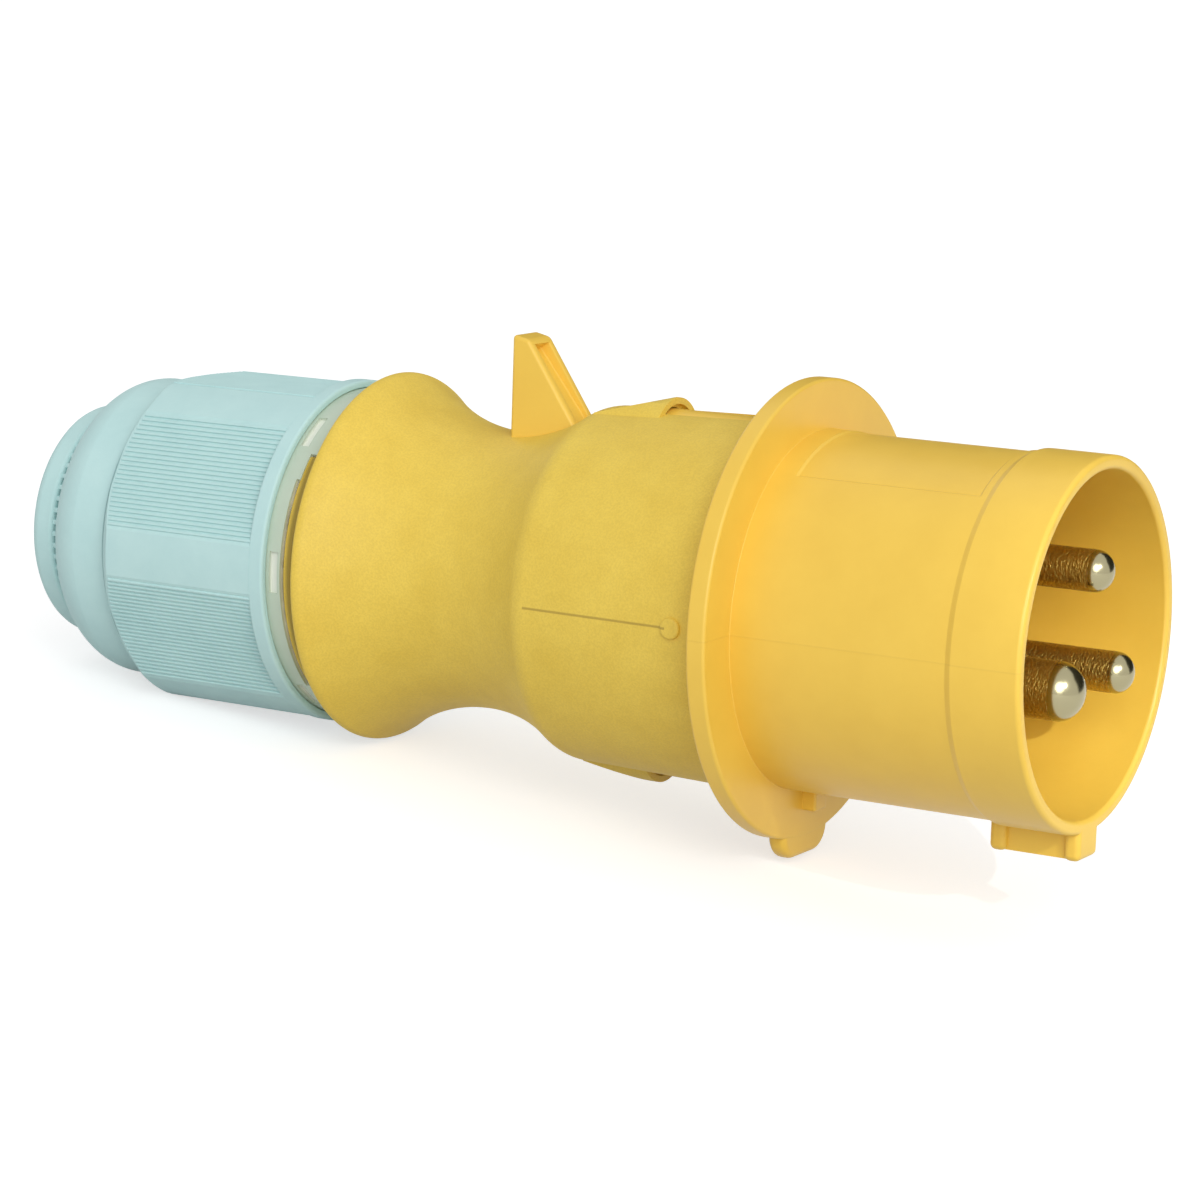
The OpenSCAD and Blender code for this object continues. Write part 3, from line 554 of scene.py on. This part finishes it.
def sector(name, outline, middle, half):
    """The part of a turned ring within a half angle of its middle direction."""
    piece = turned(name, outline)
    for side in (-1, 1):
        edge = middle + side * (half + pi / 2)
        trim(piece, (0, 0, 0), (cos(edge), sin(edge), 0))
    return piece


ridge_outline = rounded([
    (ridge_root_r, collar_z, 0), (ridge_r, collar_z, 0.3), (ridge_r, collar_z + 1.1, 0.3),
    (ridge_step_r, collar_z + 1.9, 0.4), (ridge_step_r, stop_z + 0.2, 0), (ridge_root_r, stop_z + 0.2, 0)])
ridges = [sector("ridge", ridge_outline, side * ridge_middle, ridge_half) for side in (-1, 1)]

# Hoods above and below, with room under their arch and a slot in the barrel for the tongues
hood_top = 23.95
hood_arc = 6.0
hood_front = -20.0
hood_crest = -20.4
ramp_start = -29.0
face_arc = 5.2
slot_half = 2.8
hood = arch("hood", hood_arc, barrel_bore_r + 0.6, ramp_start, hood_front)
ramp = Vector((hood_crest - ramp_start, 0, barrel_rear_r - 0.4 - hood_top))
trim(hood, (hood_top, 0, hood_crest), ramp)
soften(hood, 0.3, lambda middle, along: middle.x > barrel_rear_r - 0.5)
cut(hood, arch("sunk_face", face_arc, barrel_rear_r, hood_front - 0.7, hood_front + 1))
arch_room = arch("arch_room", tongue_arc + 0.15, barrel_bore_r - 1, tongue_end - 0.3, hood_front + 1)
narrow(arch_room, slot_half)
slot_room = bar(
    "slot_room", (barrel_bore_r - 1, -slot_half, hood_front), (barrel_bore_r + 6, slot_half, 0))
cut(hood, turned_copy(arch_room, 0))
hoods = [hood, turned_copy(hood, pi)]
for turn in (0, pi):
    cut(handle, turned_copy(slot_room, turn))
    cut(handle, turned_copy(arch_room, turn))
bpy.data.objects.remove(slot_room)
bpy.data.objects.remove(arch_room)

# Two small round pips where the mould halves meet
pip_r = 1.3
pip_len = 2
pip_middle_r = 22.15
pip_z = -7.4
bpy.ops.object.select_all(action="DESELECT")
bpy.ops.mesh.primitive_cylinder_add(
    vertices=40, radius=pip_r * MM, depth=pip_len * MM,
    location=(pip_middle_r * MM, 0, pip_z * MM), rotation=(0, pi / 2, 0))
pip = bpy.context.object
bpy.ops.object.transform_apply(location=True, rotation=True, scale=True)
soften(pip, 0.3)
pips = [turned_copy(pip, turn) for turn in (pi / 2, -pi / 2)]
bpy.data.objects.remove(pip)
handle = fused(handle, *hoods, *pips, *ridges)

# Grained moulded polyamide: the same yellow, a little greener and duller, with a speckled grain
# of about a quarter of a millimetre from the etched mould. A darker seam runs along each side of
# the barrel, and painted shade darkens the collar's groove behind the bulge to a dull olive.
handle_yellow, surface = new_material("grained moulded polyamide")
coords = add_node(handle_yellow, "ShaderNodeTexCoord")
clouds = add_node(handle_yellow, "ShaderNodeTexNoise", {
    "Vector": coords.outputs["Object"], "Scale": 1 / (7 * MM), "Detail": 8, "Roughness": 0.7})
tone = add_node(handle_yellow, "ShaderNodeMix", {
    "Factor": clouds.outputs["Fac"], 6: linear("#dcb93d"), 7: linear("#f6d85e")}, data_type="RGBA")
grain = add_node(handle_yellow, "ShaderNodeTexNoise", {
    "Vector": coords.outputs["Object"], "Scale": 1 / (0.25 * MM), "Detail": 3})
speckle = add_node(handle_yellow, "ShaderNodeMapRange", {
    "Value": grain.outputs["Fac"], "From Min": 0.38, "From Max": 0.62, "To Min": 0.18, "To Max": 0})
tone = add_node(handle_yellow, "ShaderNodeMix", {
    "Factor": speckle.outputs["Result"], 6: tone.outputs["Result"], 7: linear("#b3922c")}, data_type="RGBA")
relief = add_node(handle_yellow, "ShaderNodeBump", {
    "Height": grain.outputs["Fac"], "Strength": 0.5, "Distance": 0.05 * MM})
gloss = add_node(handle_yellow, "ShaderNodeMapRange", {
    "Value": grain.outputs["Fac"], "To Min": 0.5, "To Max": 0.66})
level = add_node(handle_yellow, "ShaderNodeMapping", {
    "Vector": coords.outputs["Object"], "Rotation": (0, pitch, 0)})
place = add_node(handle_yellow, "ShaderNodeSeparateXYZ", {"Vector": level.outputs["Vector"]})
from_seam = add_node(handle_yellow, "ShaderNodeMath", {0: place.outputs["Z"]}, operation="ABSOLUTE")
seam = add_node(handle_yellow, "ShaderNodeMapRange", {
    "Value": from_seam.outputs[0], "From Min": 0.08 * MM, "From Max": 0.19 * MM, "To Min": 1, "To Max": 0})
seam_reach = add_node(handle_yellow, "ShaderNodeMath", {
    0: place.outputs["X"], 1: -18 * MM, 2: 10 * MM}, operation="COMPARE")
flash_line = add_node(handle_yellow, "ShaderNodeMath", {
    0: seam.outputs["Result"], 1: seam_reach.outputs[0]}, operation="MULTIPLY")
flash = add_node(handle_yellow, "ShaderNodeBump", {
    "Height": flash_line.outputs[0], "Normal": relief.outputs["Normal"],
    "Strength": 0.6, "Distance": 0.06 * MM})
seam_share = add_node(handle_yellow, "ShaderNodeMath", {
    0: flash_line.outputs[0], 1: 0.6}, operation="MULTIPLY")
tone = add_node(handle_yellow, "ShaderNodeMix", {
    "Factor": seam_share.outputs[0], 6: tone.outputs["Result"], 7: linear("#8f7228")}, data_type="RGBA")
# Painted shade: the collar's groove behind the bulge is darkened to olive
from_groove = add_node(handle_yellow, "ShaderNodeMath", {
    0: place.outputs["X"], 1: (stop_z - 1.35) * MM}, operation="SUBTRACT")
from_groove = add_node(handle_yellow, "ShaderNodeMath", {0: from_groove.outputs[0]}, operation="ABSOLUTE")
painted_shade = add_node(handle_yellow, "ShaderNodeMapRange", {
    "Value": from_groove.outputs[0], "From Min": 0.7 * MM, "From Max": 1.3 * MM,
    "To Min": 0.85, "To Max": 0})
tone = add_node(handle_yellow, "ShaderNodeMix", {
    "Factor": painted_shade.outputs["Result"], 6: tone.outputs["Result"], 7: linear("#8a7420")}, data_type="RGBA")
set_inputs(handle_yellow, surface, {
    "Base Color": tone.outputs["Result"], "Roughness": gloss.outputs["Result"],
    "Normal": flash.outputs["Normal"], "IOR": polyamide_ior})
lay_down(handle, "handle", "plug", handle_yellow)

# Lid catch: a separate fin on top of the waist, moulded in the shell's smooth polyamide, with a
# pocket in its sloping front face. Its foot is held under the handle's wall.
fin_top = -30.1
fin_half = 2.8
fin_rear = -42.1
fin_front = -30.5
tip_front = -39.8
fin_root = -16
fin = bar("fin", (fin_top, -fin_half, fin_rear), (fin_root, fin_half, fin_front))
pick(fin, "edges", lambda middle, along: (
    middle.x < fin_top + 0.1 and middle.z > fin_front - 0.5 and abs(along.y) > 1))
bpy.ops.transform.translate(value=(0.5 * MM, 0, (tip_front - fin_front) * MM))
bpy.ops.object.mode_set(mode="OBJECT")
soften(fin, 0.5)
pick(fin, "faces", lambda middle, normal: (
    normal.z > 0.4 and normal.x < -0.3 and abs(normal.y) < 0.01 and middle.x > -26))
bpy.ops.mesh.inset(thickness=0.6 * MM, depth=0)
bpy.ops.transform.resize(value=(1.05, 1, 1.05))
bpy.ops.mesh.extrude_region_shrink_fatten(TRANSFORM_OT_shrink_fatten={"value": -1.4 * MM})
bpy.ops.transform.resize(value=(1, 0.8, 1))
bpy.ops.object.mode_set(mode="OBJECT")
soften(fin, 0.3, lambda middle, along: 1 < abs(middle.y) < 2 and abs(along.z) > 3)
foot_half = 3.8
foot = bar("foot", (-14.0, -foot_half, fin_rear - 1.2), (-13.0, foot_half, -31.6))
stem = bar("stem", (-16.5, -fin_half, fin_rear), (-13.5, fin_half, -32.8))
lay_down(joined(fin, foot, stem), "lid_catch", "plug", shell_yellow)

# Seals and clamp cage: a rubber ring behind the spigot, and at the cable's end a rubber bush
# in a cage of fingers that the nut presses onto the cable. The solids stay.

# Moulded rubber: nearly black and dull, with a paler bloom in patches of about two millimetres
rubber, surface = new_material("moulded rubber")
coords = add_node(rubber, "ShaderNodeTexCoord")
bloom = add_node(rubber, "ShaderNodeTexNoise", {
    "Vector": coords.outputs["Object"], "Scale": 1 / (2 * MM), "Detail": 5})
tone = add_node(rubber, "ShaderNodeMix", {
    "Factor": bloom.outputs["Fac"], 6: linear("#26282a"), 7: linear("#3a3d40")}, data_type="RGBA")
set_inputs(rubber, surface, {"Base Color": tone.outputs["Result"], "Roughness": 0.75})
refinish("body_seal", rubber)
refinish("cable_seal", rubber)

# Natural polyamide: an unpigmented off-white with faint clouds
cage_white, surface = new_material("natural polyamide")
coords = add_node(cage_white, "ShaderNodeTexCoord")
clouds = add_node(cage_white, "ShaderNodeTexNoise", {
    "Vector": coords.outputs["Object"], "Scale": 1 / (4 * MM), "Detail": 4})
tone = add_node(cage_white, "ShaderNodeMix", {
    "Factor": clouds.outputs["Fac"], 6: linear("#cfcec4"), 7: linear("#dddcd2")}, data_type="RGBA")
set_inputs(cage_white, surface, {"Base Color": tone.outputs["Result"], "Roughness": 0.5})
refinish("clamp_cage", cage_white)

# Lock ring: a milky ring between handle and nut, moulded in unpigmented polymer. It is cut out
# on both sides round the handle's ridges and has six small windows in its edge, and two lugs
# inside it keep it from turning on the threaded spigot.
ring_r = 21.0
ring_bore_r = 18.2
ring_neck_r = 19.1
ring_front = -63.8
nut_front = -65.8
ring_end = nut_front - 4.1
skirt_r = collar_r + 0.3
skirt_front = stop_z - 0.3
rim_rear = nut_front - 1.2
ring = turned("clear_ring", rounded([
    (ring_bore_r, ring_front, 0.2), (skirt_r, ring_front, 0), (skirt_r, skirt_front, 0.2),
    (ring_r, skirt_front, 0.3), (ring_r, rim_rear, 0.2), (ring_neck_r, rim_rear, 0.2),
    (ring_neck_r, ring_end, 0.2), (ring_bore_r, ring_end, 0.2)]))

# A long cut-out and a short, shallower notch on each side, then the windows and the lugs
past_r = 23
past_z = -60
for side in (-1, 1):
    for low, middle, half in ((ring_front, 83.5, 39.5), (ring_front + 0.55, 127.7, 5.5)):
        notch = [(collar_r, low), (past_r, low), (past_r, past_z), (collar_r, past_z)]
        cut(ring, sector("notch", notch, side * radians(middle), radians(half)))
window = bar("window", (ring_r - 0.6, -2.6, nut_front + 0.4), (ring_r + 1, 2.6, nut_front + 1.6))
for angle in (36.6, 90, 143.4, -36.6, -90, -143.4):
    cut(ring, turned_copy(window, pi + radians(angle)))
bpy.data.objects.remove(window)
lug = bar("lug", (ring_bore_r - 1, -1.5, ring_end), (ring_bore_r + 0.4, 1.5, ring_front))
lugs = [turned_copy(lug, pi / 2), turned_copy(lug, -pi / 2)]
bpy.data.objects.remove(lug)

# Milky polymer: a pale green-white that lets a little light through, clouded faintly, with
# painted light that makes it paler inside the windows and cut-outs
milky, surface = new_material("milky translucent polymer")
coords = add_node(milky, "ShaderNodeTexCoord")
clouds = add_node(milky, "ShaderNodeTexNoise", {
    "Vector": coords.outputs["Object"], "Scale": 1 / (5 * MM), "Detail": 4})
tone = add_node(milky, "ShaderNodeMix", {
    "Factor": clouds.outputs["Fac"], 6: linear("#c4d6c2"), 7: linear("#d2e0cd")}, data_type="RGBA")
level = add_node(milky, "ShaderNodeMapping", {
    "Vector": coords.outputs["Object"], "Rotation": (0, pitch, 0)})
across = add_node(milky, "ShaderNodeMapping", {"Vector": level.outputs["Vector"], "Scale": (0, 1, 1)})
from_axis = add_node(milky, "ShaderNodeVectorMath", {0: across.outputs["Vector"]}, operation="LENGTH")
# Painted light: the faces inside the windows and cut-outs are made paler
inside = add_node(milky, "ShaderNodeMapRange", {
    "Value": from_axis.outputs["Value"], "From Min": (ring_r - 0.5) * MM, "From Max": (ring_r - 0.1) * MM,
    "To Min": 1, "To Max": 0})
tone = add_node(milky, "ShaderNodeMix", {
    "Factor": inside.outputs["Result"], 6: tone.outputs["Result"], 7: linear("#f6faee")}, data_type="RGBA")
set_inputs(milky, surface, {
    "Base Color": tone.outputs["Result"], "Roughness": 0.35, "IOR": 1.5, "Transmission Weight": 0.12})
lay_down(joined(ring, *lugs), "lock_ring", "lock_ring", milky)

# Gland nut: moulded in pale grey-blue polyamide. Behind a plain lip its grip has six flats
# with fine ribs and smooth lands between them, then come a dome, a groove and a small collar.
thread_bore_r = 17.9
grip_bore_r = 19.4
nut_front_r = 22.0
nut_rear_r = 21.9
rib_front = nut_front - 2.2
grip_len = 25.7
grip_edge = 1.6
step_z = nut_front - grip_len
flat_half = 8.3
rib_front_r = nut_rear_r + (nut_front_r - nut_rear_r) * (rib_front - step_z) / grip_len
flat_rear = sqrt(nut_rear_r ** 2 - flat_half ** 2)
flat_front = sqrt(rib_front_r ** 2 - flat_half ** 2)
flat_tilt = atan((flat_front - flat_rear) / (rib_front - step_z))

lip_bore_r = ring_r + 0.07
lip_rear = nut_front - 1.5
lip = turned("lip", rounded([
    (lip_bore_r, nut_front, 0.15), (nut_front_r, nut_front, 0.4), (rib_front_r, rib_front, 0.3),
    (grip_bore_r, rib_front, 0), (grip_bore_r, lip_rear, 0), (lip_bore_r, lip_rear, 0)]))
grip_front = rib_front + 0.2
bore_step = -70.2
grip = turned("nut_grip", rounded([
    (grip_bore_r, grip_front, 0), (rib_front_r, grip_front, 0), (nut_rear_r, step_z + grip_edge, 0.4),
    (nut_rear_r - grip_edge, step_z, 0.2), (thread_bore_r, step_z, 0), (thread_bore_r, bore_step, 0),
    (grip_bore_r, bore_step, 0)]), steps=192)
flat_foot = Vector((flat_rear, 0, step_z))
flat_outwards = Vector((cos(flat_tilt), 0, -sin(flat_tilt)))
for k in range(6):
    turn = Matrix.Rotation(k * pi / 3, 3, "Z")
    trim(grip, turn @ flat_foot, turn @ flat_outwards)
soften(grip, 0.25, lambda middle, along: (
    middle.z < rib_front - 0.3 and hypot(middle.x, middle.y) > grip_bore_r + 0.2), sharper=8)

# Each rib of a flat starts where the grip's rear bevel cuts it
rib_pitch = 0.632
rib_count = 25
rib_half = 0.2
rib_rise = 0.22
rib_end = (rib_front - step_z) / cos(flat_tilt) + 0.1
row = []
for k in range(rib_count):
    aside = (k - (rib_count - 1) / 2) * rib_pitch
    rib_start = max(0.4, hypot(flat_rear + rib_rise, aside) - nut_rear_r + grip_edge + 0.15)
    rib = bar("rib", (-0.3, aside - rib_half, rib_start), (rib_rise, aside + rib_half, rib_end))
    soften(rib, 0.14, lambda middle, along: middle.x > 0.2, segments=2)
    row.append(rib)
comb = joined(*row)
comb.location = (flat_rear * MM, 0, step_z * MM)
comb.rotation_euler = (0, flat_tilt, 0)
bpy.ops.object.transform_apply(location=True, rotation=True, scale=True)
combs = [comb] + [turned_copy(comb, k * pi / 3) for k in range(1, 6)]

# Dome behind a narrow groove, then the serrated groove and the collar round the cable's exit
dome_r = 19.5
dome_arc_z = step_z - 5.3
dome_drop = 4.4
step_groove_r = dome_r - 1.1
step_groove_end = step_z - 0.9
groove_r = 13.0
groove_z = step_z - 10.9
exit_r = 15.2
exit_z = groove_z - 1.2
exit_hole_r = 8.5
nut_end = exit_z - 3.6
dome_turn = 2 * atan2(dome_drop, dome_arc_z - groove_z)
dome_round = dome_drop / (1 - cos(dome_turn))
dome = turned("dome", (
    rounded([
        (thread_bore_r, step_z + 0.1, 0), (step_groove_r, step_z + 0.1, 0),
        (step_groove_r, step_groove_end, 0.1), (dome_r, step_groove_end, 0.15)])
    + arc((dome_r - dome_round, dome_arc_z), dome_round, 0, -degrees(dome_turn), 28)
    + rounded([
        (groove_r, groove_z, 0), (groove_r, exit_z, 0), (exit_r, exit_z, 0.6), (exit_r, nut_end, 1.5),
        (exit_hole_r, nut_end, 0.5), (exit_hole_r, nut_end + 5.6, 0),
        (thread_bore_r, thread_end - 3.3, 0)])))
serration_count = 60
serration_r = 14.85
serration_half = 0.35
serration = bar(
    "serration", (groove_r - 0.2, -serration_half, exit_z - 0.2),
    (serration_r, serration_half, groove_z + 0.2))
soften(serration, 0.15, lambda middle, along: middle.x > 14)
serrations = [serration] + [
    turned_copy(serration, k * 2 * pi / serration_count) for k in range(1, serration_count)]

# Matte moulded polyamide in pale sea grey: chalky, with faint clouds in the pigment and a very
# fine grain. Painted shade darkens the narrow groove behind the grip.
nut_grey, surface = new_material("matte moulded polyamide")
coords = add_node(nut_grey, "ShaderNodeTexCoord")
clouds = add_node(nut_grey, "ShaderNodeTexNoise", {
    "Vector": coords.outputs["Object"], "Scale": 1 / (6 * MM), "Detail": 8, "Roughness": 0.68})
tone = add_node(nut_grey, "ShaderNodeMix", {
    "Factor": clouds.outputs["Fac"], 6: linear("#b3d8d8"), 7: linear("#c8e8e6")}, data_type="RGBA")
level = add_node(nut_grey, "ShaderNodeMapping", {
    "Vector": coords.outputs["Object"], "Rotation": (0, pitch, 0)})
place = add_node(nut_grey, "ShaderNodeSeparateXYZ", {"Vector": level.outputs["Vector"]})
# Painted shade: a dark teal band in the narrow groove behind the grip
from_groove = add_node(nut_grey, "ShaderNodeMath", {
    0: place.outputs["X"], 1: (step_z - 0.45) * MM}, operation="SUBTRACT")
from_groove = add_node(nut_grey, "ShaderNodeMath", {0: from_groove.outputs[0]}, operation="ABSOLUTE")
painted_shade = add_node(nut_grey, "ShaderNodeMapRange", {
    "Value": from_groove.outputs[0], "From Min": 0.4 * MM, "From Max": 0.65 * MM,
    "To Min": 0.9, "To Max": 0})
tone = add_node(nut_grey, "ShaderNodeMix", {
    "Factor": painted_shade.outputs["Result"], 6: tone.outputs["Result"], 7: linear("#477f82")}, data_type="RGBA")
grain = add_node(nut_grey, "ShaderNodeTexNoise", {
    "Vector": coords.outputs["Object"], "Scale": 1 / (0.3 * MM), "Detail": 3})
relief = add_node(nut_grey, "ShaderNodeBump", {
    "Height": grain.outputs["Fac"], "Strength": 0.3, "Distance": 0.03 * MM})
set_inputs(nut_grey, surface, {
    "Base Color": tone.outputs["Result"], "Normal": relief.outputs["Normal"],
    "Roughness": 0.6, "IOR": polyamide_ior})
nut = joined(grip, lip, *combs, dome, *serrations)
lay_down(nut, "gland_nut", "gland_nut", nut_grey)

# Studio: a wide white floor under the plug's lowest point, one large soft box above the camera's
# right shoulder and a narrow spot into the mouth. A dark card beyond the plug shows only in
# reflections, and the white surround lights the nut's side less than the mouth's.
bpy.ops.object.select_all(action="DESELECT")
bpy.ops.mesh.primitive_plane_add(size=12, location=(0, 0, cad_box[0][2]))
floor = bpy.context.object
floor.name = "floor"


def where_seen(material):
    """An output that is 1 where the camera, a reflection or a clear piece shows the surface, else 0."""
    rays = add_node(material, "ShaderNodeLightPath")
    seen = add_node(material, "ShaderNodeMath", {
        0: rays.outputs["Is Camera Ray"], 1: rays.outputs["Is Glossy Ray"]}, operation="MAXIMUM")
    seen = add_node(material, "ShaderNodeMath", {
        0: seen.outputs[0], 1: rays.outputs["Is Transmission Ray"]}, operation="MAXIMUM")
    return seen.outputs[0]


# White paper: pale and matte, and it glows a little where it is seen, so that it shows white
# and keeps the plug's shadow
paper, surface = new_material("white paper")
glow = add_node(paper, "ShaderNodeMath", {0: where_seen(paper), 1: 0.62}, operation="MULTIPLY")
set_inputs(paper, surface, {
    "Base Color": linear("#c8c8c8"), "Roughness": 0.9,
    "Emission Color": linear("#ffffff"), "Emission Strength": glow.outputs[0]})
floor.data.materials.append(paper)

bpy.ops.object.light_add(type="AREA", location=(0.66, -0.92, 0.6))
soft_box = bpy.context.object
soft_box.name = "soft box"
soft_box.data.shape = "DISK"
soft_box.data.size = 0.9
soft_box.data.energy = 8
soft_box.rotation_euler = (-soft_box.location).to_track_quat("-Z", "Y").to_euler()

# The spot stands a metre off and aims a little below the middle of the mouth
aim_drop = 3
spot_r = 0.021
aim = Vector((shroud_len * cos(pitch), 0, shroud_len * sin(pitch) - aim_drop)) * MM
bpy.ops.object.light_add(type="SPOT", location=aim + Vector((0.72, -0.4, 0.57)).normalized())
snoot = bpy.context.object
snoot.name = "snoot"
snoot.data.energy = 20
snoot.data.spot_size = 2 * atan(spot_r)
snoot.data.spot_blend = 0.3
snoot.data.shadow_soft_size = 0.01
snoot.rotation_euler = (aim - snoot.location).to_track_quat("-Z", "Y").to_euler()

bpy.ops.object.select_all(action="DESELECT")
bpy.ops.mesh.primitive_plane_add(size=1, location=(0.2, 0.6, 0.42), rotation=(pi / 2, 0, 0))
card = bpy.context.object
card.name = "dark card"
card.scale = (1.6, 0.8, 1)
card_black, surface = new_material("black card")
set_inputs(card_black, surface, {"Base Color": linear("#2c2b1c"), "Roughness": 1})
card.data.materials.append(card_black)
for ray_kind in ("camera", "diffuse", "transmission", "volume_scatter", "shadow"):
    setattr(card, "visible_" + ray_kind, False)

world = bpy.data.worlds.new("white surround")
bpy.context.scene.world = world
world.use_nodes = True
towards = add_node(world, "ShaderNodeTexCoord")
towards = add_node(world, "ShaderNodeSeparateXYZ", {"Vector": towards.outputs["Generated"]})
fall = add_node(world, "ShaderNodeMapRange", {
    "Value": towards.outputs["X"], "From Min": -1, "To Min": 0.5, "To Max": 0.8})
strength = add_node(world, "ShaderNodeMapRange", {
    "Value": where_seen(world), "To Min": fall.outputs["Result"], "To Max": 1})
set_inputs(world, world.node_tree.nodes["Background"], {
    "Color": linear("#ffffff"), "Strength": strength.outputs["Result"]})

# Camera: where the photograph was taken from, worked out from the ellipses of mouth and flange
bpy.ops.object.camera_add(
    location=(0.21045, -0.43893, 0.11151), rotation=(radians(76.687), radians(-7.599), radians(30.461)))
camera = bpy.context.object
camera.data.lens = 124.15
camera.data.sensor_width = 36
bpy.context.scene.camera = camera
bpy.context.scene.view_settings.view_transform = "Standard"
